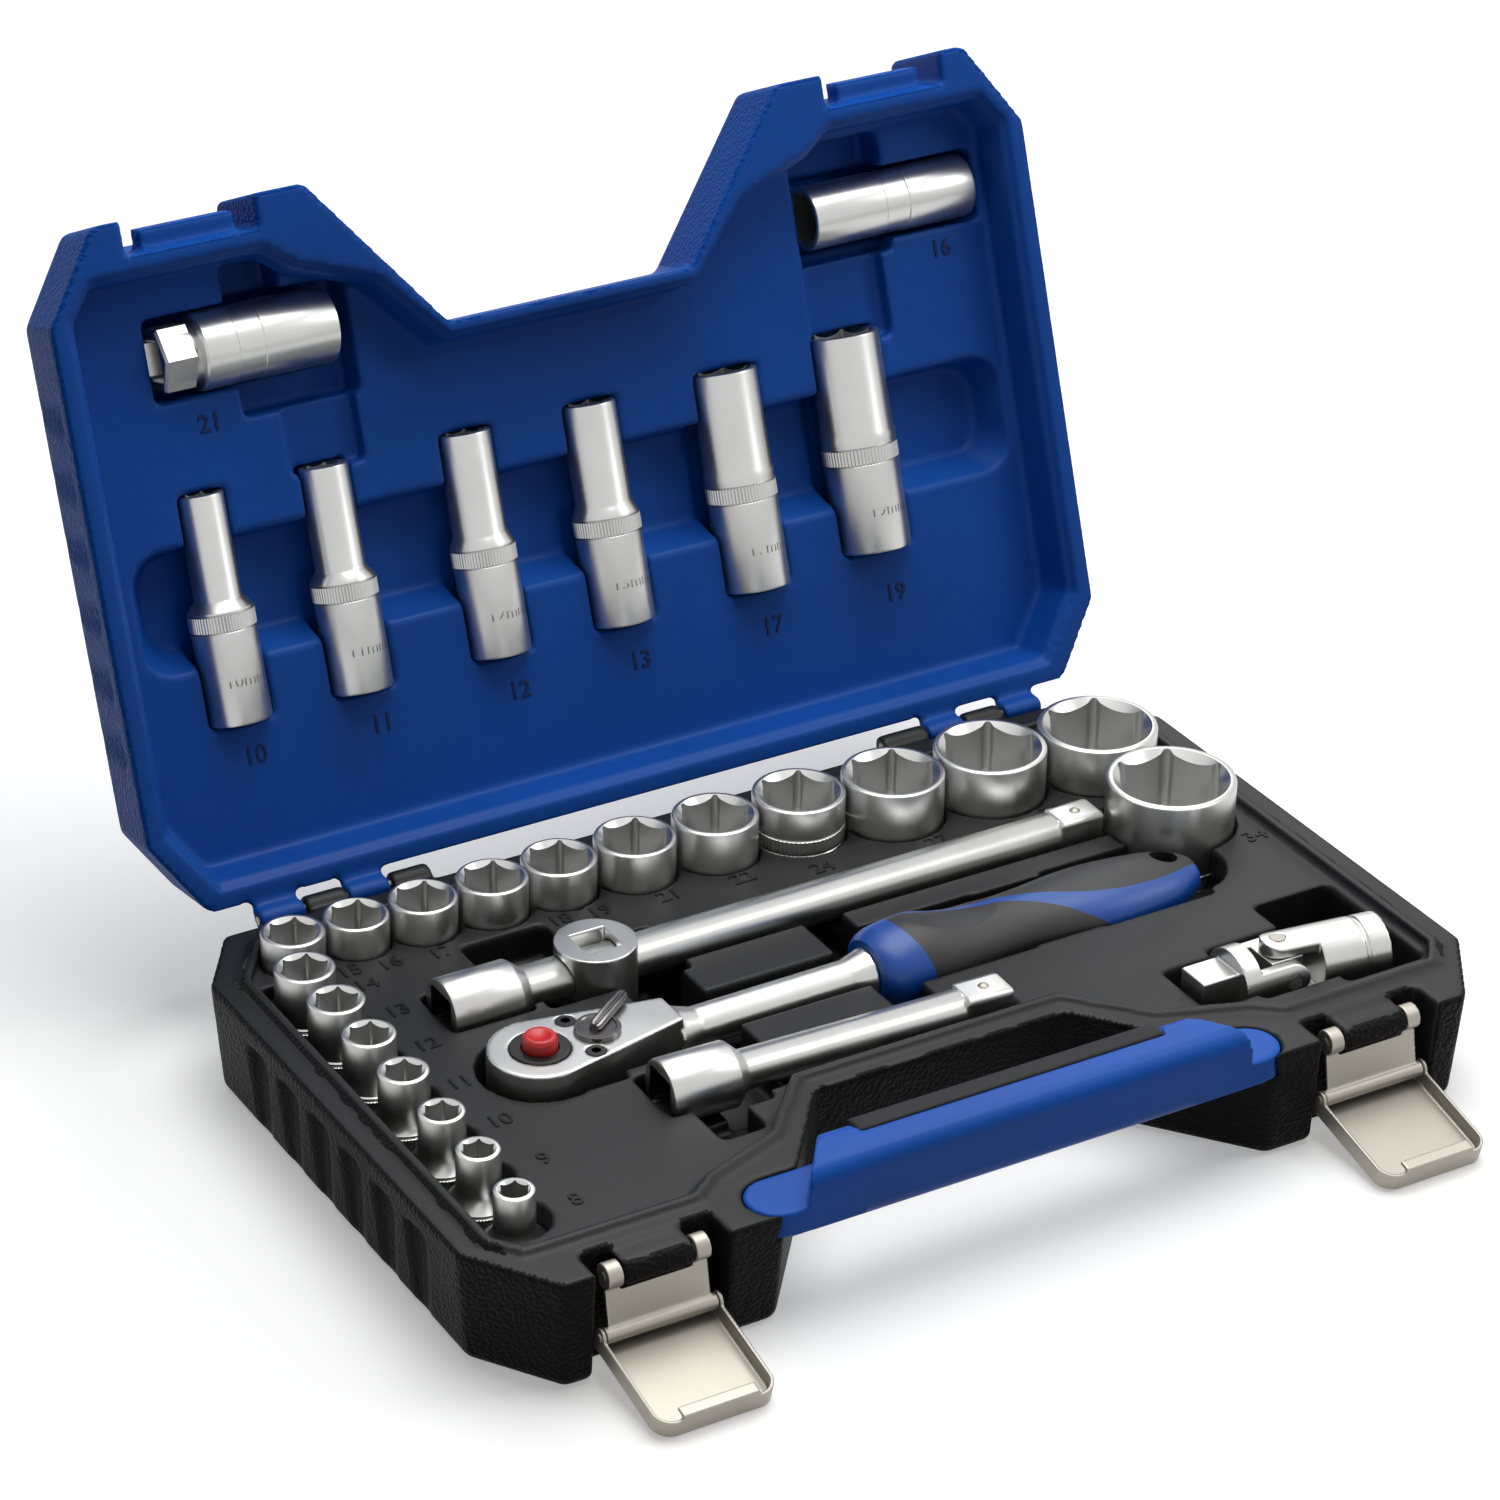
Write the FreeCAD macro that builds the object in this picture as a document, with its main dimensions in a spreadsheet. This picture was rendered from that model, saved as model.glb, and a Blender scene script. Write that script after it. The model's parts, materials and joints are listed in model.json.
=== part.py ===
# Socket wrench set in a two-part moulded case, lying open on a table.
# Millimetres. X runs to the right along the case, Y to the back, Z up from the table.
# The lid and the tools in it are drawn as if the lid were shut and are then turned open about the hinge.
import FreeCAD, Part
import math
import os
import Sketcher

V = FreeCAD.Vector

# Plain sizes of the case, its hinge, latches and handle, and of the tools.
DIMENSIONS = {
    "case_half_width": 184.65,
    "case_half_depth": 113.9,
    "back_chamfer_x": 17.0,
    "back_chamfer_y": 26.0,
    "front_chamfer_x": 20.0,
    "front_chamfer_y": 30.0,
    "notch_front_half": 89.5,
    "notch_back_half": 46.4,
    "notch_back": -59.3,
    "rim_height": 40.0,
    "lid_top": 76.0,
    "base_draft": 3.0,
    "lid_draft": 4.0,
    "corner_round": 4.0,
    "wall": 2.2,
    "tray_level": 38.5,
    "bead_top": 42.0,
    "bead_width": 3.0,
    "bead_notch_half": 48.0,
    "bead_notch_back": -52.8,
    "bead_bend_x": 70.0,
    "bead_bend_y": -77.0,
    "bead_lobe_x": 98.0,
    "bead_lobe_y": -87.0,
    "bead_front_x": 108.0,
    "bead_front_y": -94.5,
    "bead_corner_x": 167.5,
    "bead_half_width": 175.5,
    "bead_side_y": 84.0,
    "bead_back_x": 161.0,
    "bead_back_y": 105.0,
    "recess_lip": 2.5,
    "recess_lip_depth": 2.5,
    "recess_shoulder": 0.7,
    "recess_draft": 1.8,
    "lid_panel": 57.5,
    "blow_hole": 3.0,
    "grip_radius": 10.0,
    "grip_offset": 6.0,
    "grip_spacing": 22.0,
    "base_grip_top": 32.0,
    "lid_grip_bottom": 48.0,
    "hinge_axis_y": 120.0,
    "hinge_axis_z": 37.8,
    "hinge_barrel": 4.0,
    "hinge_pin": 1.5,
    "hinge_gap": 0.3,
    "running_gap": 0.05,
    "lid_angle": 109.3,
    "latch_x": 131.0,
    "latch_pin_y": -107.7,
    "latch_pin_z": 34.2,
    "latch_pin_half": 17.6,
    "latch_barrel": 4.6,
    "latch_barrel_half": 12.0,
    "latch_recess_half": 22.5,
    "latch_recess_back": -101.0,
    "link_length": 19.1,
    "link_lean": 10.3,
    "link_ear": 4.2,
    "link_ear_inner": 12.4,
    "link_ear_outer": 17.4,
    "link_plate": 1.2,
    "link_barrel": 2.6,
    "link_barrel_half": 19.0,
    "link_pin_half": 21.0,
    "lever_tilt": 13.7,
    "lever_length": 38.2,
    "lever_half": 20.5,
    "lever_face": 6.2,
    "lever_sheet": 1.2,
    "lever_eye": 2.8,
    "lever_lip_half": 13.0,
    "lever_lip_reach": 2.0,
    "keeper_half": 17.0,
    "keeper_front": -109.5,
    "keeper_bottom": 44.0,
    "keeper_top": 51.8,
    "keeper_recess_half": 23.5,
    "keeper_recess_back": -102.2,
    "handle_front": -113.6,
    "handle_back": -93.0,
    "handle_front_half": 81.0,
    "handle_back_half": 66.0,
    "handle_bottom": 28.0,
    "handle_top": 52.0,
    "handle_round": 6.0,
    "handle_tab_x": 86.5,
    "handle_tab_y": -103.4,
    "handle_tab_radius": 10.2,
    "handle_tab_bottom": 31.0,
    "handle_tab_top": 39.8,
    "handle_slot_gap": 0.3,
    "insert_half": 56.0,
    "insert_front": -101.0,
    "insert_back": -92.5,
    "insert_bottom": 33.0,
    "insert_top": 52.4,
    "drive_square": 12.7,
    "drive_gap": 0.2,
    "drive_depth": 16.0,
    "drive_chamfer": 1.2,
    "socket_floor": 11.5,
    "socket_pocket_gap": 0.6,
    "socket_foot": 21.0,
    "socket_foot_length": 20.0,
    "socket_flare": 5.5,
    "socket_shoulder": 3.0,
    "socket_hex_depth": 15.0,
    "socket_bore": 3.5,
    "hex_gap": 0.2,
    "ball_radius": 2.4,
    "ball_stand": 0.9,
    "ball_seat": 2.6,
    "ball_seat_depth": 5.2,
    "long_start": -126.4,
    "long_length": 250.0,
    "long_y": 39.1,
    "bar_z": 39.0,
    "bar_collar": 11.0,
    "long_collar_length": 25.0,
    "bar_shoulder": 4.0,
    "long_shank": 7.25,
    "bar_square_length": 16.7,
    "short_x": -88.7,
    "short_y": -36.1,
    "short_length": 124.5,
    "short_yaw": 2.2,
    "short_collar_length": 24.0,
    "short_shank": 6.75,
    "adapter_x": -70.2,
    "adapter_radius": 13.7,
    "adapter_bottom": 27.0,
    "adapter_top": 49.0,
    "adapter_foot": 12.0,
    "adapter_hole": 7.5,
    "head_x": -113.4,
    "head_y": -3.4,
    "ratchet_yaw": 0.7,
    "head_radius": 17.0,
    "head_bottom": 25.0,
    "head_top": 45.0,
    "head_tangent_x": 3.5,
    "head_tangent_y": 16.6,
    "neck_x": 48.0,
    "neck_half": 7.2,
    "gear_radius": 12.6,
    "gear_bottom": 27.0,
    "gear_top": 42.6,
    "gear_gap": 0.4,
    "gear_hub": 9.2,
    "gear_hub_hole": 9.5,
    "square_tip": 10.0,
    "ring_radius": 9.7,
    "ring_bore": 6.1,
    "ring_bottom": 43.0,
    "ring_top": 45.6,
    "button_radius": 5.75,
    "button_bottom": 38.5,
    "button_top": 50.0,
    "button_well": 35.5,
    "lever_x": 20.7,
    "selector_radius": 7.6,
    "selector_top": 47.0,
    "selector_arm": 17.5,
    "selector_arm_width": 4.6,
    "selector_arm_top": 49.8,
    "selector_angle": 36.0,
    "selector_shaft": 3.4,
    "selector_shaft_bottom": 30.0,
    "pawl_front": 13.4,
    "pawl_back": 16.9,
    "pawl_half": 6.5,
    "pawl_bottom": 29.0,
    "pawl_top": 41.0,
    "pawl_room_half": 9.0,
    "pawl_room_back": 25.0,
    "screw_x": 14.6,
    "screw_y": 10.0,
    "screw_radius": 3.1,
    "screw_depth": 42.0,
    "screw_key": 3.0,
    "shank_z": 35.0,
    "shank_radius": 6.8,
    "shank_flare": 9.0,
    "handle_start": 121.0,
    "collar_end": 131.0,
    "core_inset": 4.0,
    "hang_x": 243.5,
    "hang_radius": 3.6,
    "joint_x": 124.0,
    "joint_y": -66.0,
    "joint_z": 37.0,
    "joint_radius": 11.5,
    "joint_gap": 13.0,
    "joint_ear_half": 6.0,
    "joint_ear_inner": 6.5,
    "joint_collar": 19.0,
    "joint_square": 33.0,
    "joint_end": 37.0,
    "joint_block": 6.2,
    "joint_pin": 2.5,
    "joint_pin_half": 11.3,
    "joint_bend": 8.0,
    "joint_groove": 0.7,
    "deep_axis_z": 60.4,
    "deep_length": 77.3,
    "deep_hex_length": 35.5,
    "deep_hex_depth": 30.0,
    "deep_knurl": 0.4,
    "deep_knurl_length": 6.0,
    "lid_pocket_gap": 0.8,
    "channel_mouth_left": -168.0,
    "channel_mouth_right": 171.0,
    "channel_mouth_front": -4.0,
    "channel_mouth_back": 39.0,
    "channel_floor_left": -161.0,
    "channel_floor_right": 164.0,
    "channel_floor_front": -1.0,
    "channel_floor_back": 31.0,
    "channel_depth": 71.0,
    "channel_round": 12.0,
    "spark_hex_depth": 24.0,
    "spark_insert_length": 12.0,
    "spark_insert_wall": 3.0,
    "spark_head": 14.0,
}


def cells(prefix, labels, values):
    for label, value in zip(labels, values):
        DIMENSIONS[prefix + "_" + label] = value


# Short sockets: size over flats, outer diameter, place in the tray and length.
SOCKETS = {
    8: (13.0, -160.0, -74.1, 38.0),
    9: (14.0, -159.3, -49.6, 38.0),
    10: (15.0, -159.4, -25.7, 38.0),
    11: (16.5, -159.3, 0.2, 38.0),
    12: (17.5, -159.1, 24.4, 38.0),
    13: (18.8, -159.2, 47.3, 38.0),
    14: (20.0, -159.5, 69.7, 38.0),
    15: (21.2, -153.2, 91.5, 38.0),
    16: (21.8, -130.6, 91.0, 38.0),
    17: (23.0, -107.2, 89.0, 39.0),
    18: (24.4, -82.5, 87.6, 40.0),
    19: (25.6, -57.2, 88.1, 40.0),
    21: (28.0, -29.4, 86.3, 41.0),
    22: (29.6, 0.6, 84.7, 42.0),
    24: (32.0, 32.2, 82.9, 43.0),
    27: (35.6, 66.0, 77.0, 44.0),
    30: (39.4, 104.5, 75.9, 44.0),
    32: (41.8, 145.6, 71.1, 44.0),
    34: (44.6, 146.5, 27.5, 44.0),
}
FOOTED = (8, 9, 10, 11, 12, 13, 14)
for socket_size, socket_row in SOCKETS.items():
    cells("socket_%02d" % socket_size, ("flats", "outer", "x", "y", "length"), (float(socket_size),) + socket_row)

# Deep sockets in the lid: place along the lid and of the drive end, diameter of the hex end and of the drive end.
DEEP = {
    10: (-137.0, 58.0, 16.0, 22.0),
    11: (-92.0, 58.0, 17.0, 22.0),
    12: (-39.5, 58.0, 18.5, 22.0),
    13: (8.2, 58.0, 19.5, 23.0),
    17: (61.5, 58.0, 24.0, 24.5),
    19: (110.5, 55.0, 26.0, 26.5),
}
for socket_size, socket_row in DEEP.items():
    cells("deep_%02d" % socket_size, ("flats", "x", "end", "hex", "drive"), (float(socket_size),) + socket_row)

# Spark plug sockets: diameter, drive end, length, place across the lid and height of the axis.
SPARK = {
    16: (22.6, 168.0, 65.0, -64.0, 62.4),
    21: (26.0, -144.5, 62.0, -65.0, 60.4),
}
for socket_size, socket_row in SPARK.items():
    cells("spark_%02d" % socket_size, ("flats", "outer", "end", "length", "y", "z"), (float(socket_size),) + socket_row)

# Box-shaped pockets of the tray: left, right, front, back and floor.
BASE_POCKETS = {
    "trench": (-171.0, -158.0, -84.0, 80.0, 22.0),
    "bar_trough": (-128.0, 125.5, 30.6, 47.6, 30.5),
    "bar_collar_room": (-128.0, -98.0, 26.6, 51.6, 27.8),
    "adapter_room": (-94.0, -42.5, 24.4, 53.8, 12.0),
    "adapter_finger": (-103.0, -72.0, 50.0, 72.0, 26.0),
    "short_collar_room": (-91.5, -62.0, -49.0, -23.5, 27.8),
    "short_trough": (-66.0, 37.5, -50.0, -30.0, 30.5),
    "short_finger_left": (-84.0, -68.5, -67.5, -46.0, 24.0),
    "short_finger_right": (-80.0, -57.5, -54.5, -46.0, 24.0),
    "neck_wide": (-113.0, -92.0, -23.0, 16.2, 18.0),
    "neck_narrow": (-96.0, -70.0, -18.5, 13.0, 20.0),
    "ratchet_shank": (-80.0, 12.0, -13.0, 9.5, 24.0),
    "grip_front": (4.0, 62.0, -19.5, 19.5, 23.0),
    "grip_waist": (58.0, 92.0, -18.5, 18.5, 23.2),
    "grip_rear": (88.0, 133.0, -19.5, 20.5, 23.2),
    "cross_left": (-69.0, -46.5, -46.0, 46.0, 22.0),
    "cross_right": (2.5, 17.0, -46.0, 46.0, 22.0),
    "joint_square_room": (88.5, 113.0, -79.0, -52.5, 25.3),
    "joint_middle_room": (108.5, 141.5, -81.5, -48.0, 22.8),
    "joint_finger_room": (138.5, 168.5, -86.0, -33.0, 14.0),
}
# Box-shaped pockets of the lid panel, with the lid shut: left, right, front, back and depth of the floor.
LID_POCKETS = {
    "lid_ledge_left": (-104.0, -77.0, -42.0, -18.0, 63.0),
    "lid_ledge_right": (98.0, 129.5, -48.0, -18.0, 63.0),
    "spark_21_room": (-147.0, -79.0, -79.0, -51.0, 73.6),
    "spark_21_finger": (-117.0, -97.0, -91.0, -40.5, 70.0),
    "spark_21_end": (-98.0, -74.5, -80.0, -40.5, 70.0),
    "spark_16_room": (101.5, 171.0, -76.8, -51.2, 73.9),
    "spark_16_finger": (98.0, 134.8, -85.0, -47.2, 70.0),
    "spark_16_top": (106.0, 134.8, -89.5, -80.0, 70.0),
}
SIDES = ("left", "right", "front", "back", "floor")
for pocket_name, pocket_sides in list(BASE_POCKETS.items()) + list(LID_POCKETS.items()):
    cells(pocket_name, SIDES, pocket_sides)
# Round pockets: place, radius and floor.
ROUND_POCKETS = {
    "head_room": (-113.4, -3.4, 20.4, 8.5),
    "grip_end_room": (131.5, 0.8, 16.5, 23.2),
}
for pocket_name, pocket_place in ROUND_POCKETS.items():
    cells(pocket_name, ("x", "y", "radius", "floor"), pocket_place)
# Hinge knuckles along X, first and last edge: those of the base and those of the lid.
BASE_KNUCKLES = ((-136.0, -120.5), (-104.6, -88.9), (87.7, 106.3), (121.7, 137.7))
LID_KNUCKLES = ((-153.1, -136.0), (-120.5, -104.6), (106.3, 121.7), (137.7, 153.7))
for knuckle_owner, knuckle_rows in (("base", BASE_KNUCKLES), ("lid", LID_KNUCKLES)):
    for knuckle_number, knuckle_edges in enumerate(knuckle_rows):
        cells("%s_knuckle_%s" % (knuckle_owner, "abcd"[knuckle_number]), ("start", "stop"), knuckle_edges)
# Sections of the ratchet handle: distance from the head, half width and half height.
GRIP_SECTIONS = (
    (121.0, 12.0, 9.8),
    (127.0, 16.0, 11.4),
    (145.0, 16.4, 11.6),
    (172.0, 13.8, 10.6),
    (190.0, 15.2, 10.8),
    (212.0, 17.3, 10.8),
    (235.0, 14.4, 9.4),
    (245.0, 9.6, 7.4),
    (250.5, 5.6, 4.6),
)
for section_number, section_row in enumerate(GRIP_SECTIONS):
    cells("grip_section_%s" % "abcdefghi"[section_number], ("x", "width", "height"), section_row)

doc = FreeCAD.newDocument("SocketWrenchSet")
sheet = doc.addObject("Spreadsheet::Sheet", "dimensions")
for row, (alias, number) in enumerate(DIMENSIONS.items(), 1):
    sheet.set("A%d" % row, alias)
    sheet.set("B%d" % row, repr(number))
    sheet.setAlias("B%d" % row, alias)
doc.recompute()


class Size:
    """A length together with the expression that gives it."""

    def __init__(self, value, text):
        self.value = value
        self.text = text

    def __add__(self, other):
        other = as_size(other)
        return Size(self.value + other.value, "(%s + %s)" % (self.text, other.text))

    def __radd__(self, other):
        return as_size(other) + self

    def __sub__(self, other):
        other = as_size(other)
        return Size(self.value - other.value, "(%s - %s)" % (self.text, other.text))

    def __rsub__(self, other):
        return as_size(other) - self

    def __mul__(self, factor):
        return Size(self.value * factor, "(%s * %r)" % (self.text, factor))

    def __rmul__(self, factor):
        return self * factor

    def __neg__(self):
        return Size(-self.value, "(0 - %s)" % self.text)


def as_size(number):
    if isinstance(number, Size):
        return number
    return Size(float(number), "(%r)" % float(number))


def dim(alias):
    return Size(float(sheet.get(alias)), "dimensions." + alias)


TURNS = {
    "Z": FreeCAD.Rotation(),
    "X": FreeCAD.Rotation(V(0, 1, 0), 90),
    "-X": FreeCAD.Rotation(V(0, 1, 0), -90),
    "Y": FreeCAD.Rotation(V(1, 0, 0), -90),
    "-Y": FreeCAD.Rotation(V(1, 0, 0), 90),
    "-Z": FreeCAD.Rotation(V(1, 0, 0), 180),
}


def bind(item, prop, size):
    item.setExpression(prop, as_size(size).text)


def put(item, at, axis="Z"):
    item.Placement = FreeCAD.Placement(V(0, 0, 0), TURNS[axis])
    for letter, size in zip("xyz", at):
        bind(item, "Placement.Base." + letter, size)
    return item


def cylinder(name, radius, length, at=(0, 0, 0), axis="Z"):
    item = doc.addObject("Part::Cylinder", name)
    bind(item, "Radius", radius)
    bind(item, "Height", length)
    return put(item, at, axis)


def cone(name, radius, top_radius, length, at=(0, 0, 0), axis="Z"):
    item = doc.addObject("Part::Cone", name)
    bind(item, "Radius1", radius)
    bind(item, "Radius2", top_radius)
    bind(item, "Height", length)
    return put(item, at, axis)


def sphere(name, radius, at):
    item = doc.addObject("Part::Sphere", name)
    bind(item, "Radius", radius)
    return put(item, at)


def hexagon(name, flats, length, at=(0, 0, 0), axis="Z"):
    item = doc.addObject("Part::Prism", name)
    item.Polygon = 6
    bind(item, "Circumradius", flats * (0.5 / math.cos(math.radians(30))))
    bind(item, "Height", length)
    return put(item, at, axis)


def box(name, low, high):
    item = doc.addObject("Part::Box", name)
    for prop, start, stop in zip(("Length", "Width", "Height"), low, high):
        bind(item, prop, as_size(stop) - start)
    return put(item, low)


def outline(name, points, height):
    """A closed sketch through the points, lying level at the height."""
    sketch = doc.addObject("Sketcher::SketchObject", name)
    count = len(points)
    corners = [V(as_size(x).value, as_size(y).value, 0) for x, y in points]
    for index in range(count):
        sketch.addGeometry(Part.LineSegment(corners[index], corners[(index + 1) % count]), False)
    for index in range(count):
        sketch.addConstraint(Sketcher.Constraint("Coincident", index, 2, (index + 1) % count, 1))
    for index, (x, y) in enumerate(points):
        for kind, size in (("DistanceX", as_size(x)), ("DistanceY", as_size(y))):
            number = sketch.addConstraint(Sketcher.Constraint(kind, -1, 1, index, 1, size.value))
            sketch.setExpression("Constraints[%d]" % number, size.text)
    bind(sketch, "Placement.Base.z", height)
    return sketch


def inset(name, sketch, amount):
    item = doc.addObject("Part::Offset2D", name)
    item.Source = sketch
    item.Join = "Intersection"
    bind(item, "Value", amount)
    return item


def loft(name, sections, ruled=True):
    item = doc.addObject("Part::Loft", name)
    item.Sections = sections
    item.Solid = True
    item.Ruled = ruled
    return item


def raised(name, flat, length):
    item = doc.addObject("Part::Extrusion", name)
    item.Base = flat
    item.DirMode = "Normal"
    item.Solid = True
    bind(item, "LengthFwd", length)
    return item


def fuse(name, items):
    if len(items) == 1:
        return items[0]
    item = doc.addObject("Part::MultiFuse", name)
    item.Shapes = items
    return item


def cut(name, base, tools):
    item = doc.addObject("Part::Cut", name)
    item.Base = base
    item.Tool = fuse(name + "_tools", tools)
    return item


def common(name, items):
    item = doc.addObject("Part::MultiCommon", name)
    item.Shapes = items
    return item


def rounded(name, base, radius, chosen):
    """Round the edges of a solid for which chosen says yes."""
    doc.recompute()
    item = doc.addObject("Part::Fillet", name)
    item.Base = base
    edges = []
    for number, edge in enumerate(base.Shape.Edges, 1):
        if chosen(edge):
            edges.append((number, radius.value, radius.value))
    item.Edges = edges
    return item


PARTS = []


def finish(item, label):
    item.Label = label
    PARTS.append(item)
    return item


HINGE = V(0, dim("hinge_axis_y").value, dim("hinge_axis_z").value)


def opened(item, label):
    """Turn a piece of the shut lid open about the hinge."""
    turn = FreeCAD.Rotation(V(1, 0, 0), -dim("lid_angle").value)
    swing = FreeCAD.Placement(HINGE - turn.multVec(HINGE), turn)
    item.Placement = swing.multiply(item.Placement)
    return finish(item, label)


wall = dim("wall")
rim = dim("rim_height")


def mirrored(half):
    """A whole outline from the corners of its right half."""
    return half + [(-as_size(x), y) for x, y in reversed(half)]


def case_points():
    half = dim("case_half_width")
    depth = dim("case_half_depth")
    return mirrored([
        (dim("notch_back_half"), dim("notch_back")),
        (dim("notch_front_half"), -depth),
        (half - dim("front_chamfer_x"), -depth),
        (half, dim("front_chamfer_y") - depth),
        (half, depth - dim("back_chamfer_y")),
        (half - dim("back_chamfer_x"), depth),
    ])


def bead_points():
    return mirrored([
        (dim("bead_notch_half"), dim("bead_notch_back")),
        (dim("bead_bend_x"), dim("bead_bend_y")),
        (dim("bead_lobe_x"), dim("bead_lobe_y")),
        (dim("bead_front_x"), dim("bead_front_y")),
        (dim("bead_corner_x"), dim("bead_front_y")),
        (dim("bead_half_width"), -dim("bead_side_y")),
        (dim("bead_half_width"), dim("bead_side_y")),
        (dim("bead_back_x"), dim("bead_back_y")),
    ])


def box_pocket(name, grow, mouth, sign):
    """A pocket of the tray (sign 1) or of the lid panel (sign -1), made larger all round by grow."""
    low = [dim(name + "_left") - grow, dim(name + "_front") - grow]
    high = [dim(name + "_right") + grow, dim(name + "_back") + grow]
    floor = dim(name + "_floor")
    if sign > 0:
        return box(name, low + [floor - grow], high + [mouth])
    return box(name, low + [mouth], high + [floor + grow])


def round_pocket(name, grow, mouth):
    at = [dim(name + "_x"), dim(name + "_y")]
    floor = dim(name + "_floor")
    return cylinder(name, dim(name + "_radius") + grow, mouth - floor + grow, at + [floor - grow])


def finger_channel(grow, mouth):
    """The long hollow behind the deep sockets, with sloping sides."""
    levels = []
    for name, height in (("channel_mouth", mouth), ("channel_floor", dim("channel_depth") + grow)):
        left, right = dim(name + "_left") - grow, dim(name + "_right") + grow
        front, back = dim(name + "_front") - grow, dim(name + "_back") + grow
        levels.append(outline(name, [(left, front), (right, front), (right, back), (left, back)], height))
    return rounded("channel", loft("channel_block", levels), dim("channel_round"), lambda e: is_upright(e, 8))


def base_pockets(grow, mouth):
    items = []
    for name in BASE_POCKETS:
        items.append(box_pocket(name, grow, mouth, 1))
    for name in ROUND_POCKETS:
        items.append(round_pocket(name, grow, mouth))
    for size in SOCKETS:
        key = "socket_%02d" % size
        outer = dim("socket_foot") if size in FOOTED else dim(key + "_outer")
        floor = dim("socket_floor") - grow
        radius = outer * 0.5 + dim("socket_pocket_gap") + grow
        items.append(cylinder(key + "_room", radius, mouth - floor, (dim(key + "_x"), dim(key + "_y"), floor)))
    return items


def lid_pockets(grow, mouth):
    items = []
    for name in LID_POCKETS:
        items.append(box_pocket(name, grow, mouth, -1))
    items.append(finger_channel(grow, mouth))
    gap = dim("lid_pocket_gap")
    for size in DEEP:
        key = "deep_%02d" % size
        end = dim(key + "_end")
        shoulder = end - dim("deep_length") + dim("deep_hex_length")
        for part, front, back in (
            ("hex", end - dim("deep_length") - gap, shoulder),
            ("drive", shoulder, end + gap),
        ):
            half = dim("%s_%s" % (key, part)) * 0.5 + gap
            floor = dim("deep_axis_z") + half - 0.4
            low = (dim(key + "_x") - half - grow, front - grow, mouth)
            high = (dim(key + "_x") + half + grow, back + grow, floor + grow)
            items.append(box("%s_%s_room" % (key, part), low, high))
    return items


def side_grips(bottom, top):
    """Upright finger hollows in the two end walls of the case."""
    items = []
    for side in (-1, 1):
        for step in (-2.5, -1.5, -0.5, 0.5, 1.5, 2.5):
            x = (dim("case_half_width") + dim("grip_offset")) * side
            items.append(cylinder("grip", dim("grip_radius"), top - bottom, (x, dim("grip_spacing") * step, bottom)))
    return items


def hinge_arms(owner, count, low, high):
    items = []
    gap = dim("hinge_gap")
    for letter in "abcd"[:count]:
        start = dim("%s_knuckle_%s_start" % (owner, letter)) + gap
        stop = dim("%s_knuckle_%s_stop" % (owner, letter)) - gap
        at = (start, dim("hinge_axis_y"), dim("hinge_axis_z"))
        items.append(cylinder("barrel", dim("hinge_barrel"), stop - start, at, "X"))
        items.append(box("arm", (start, dim("case_half_depth") - 3.5, low), (stop, dim("hinge_axis_y"), high)))
    return items


def is_upright(edge, least=20):
    heights = [vertex.Z for vertex in edge.Vertexes]
    return max(heights) - min(heights) > least


def at_height(edge, height):
    return all(abs(vertex.Z - height) < 0.01 for vertex in edge.Vertexes)


def latch_boxes(name, low, high):
    """The same box at both latches, given about the middle of the latch."""
    items = []
    for side in (-1, 1):
        middle = dim("latch_x") * side
        items.append(box(name, (middle + low[0], low[1], low[2]), (middle + high[0], high[1], high[2])))
    return items


def latch_rods(name, radius, half, y, z):
    items = []
    for side in (-1, 1):
        items.append(cylinder(name, radius, half * 2, (dim("latch_x") * side - half, y, z), "X"))
    return items


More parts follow.
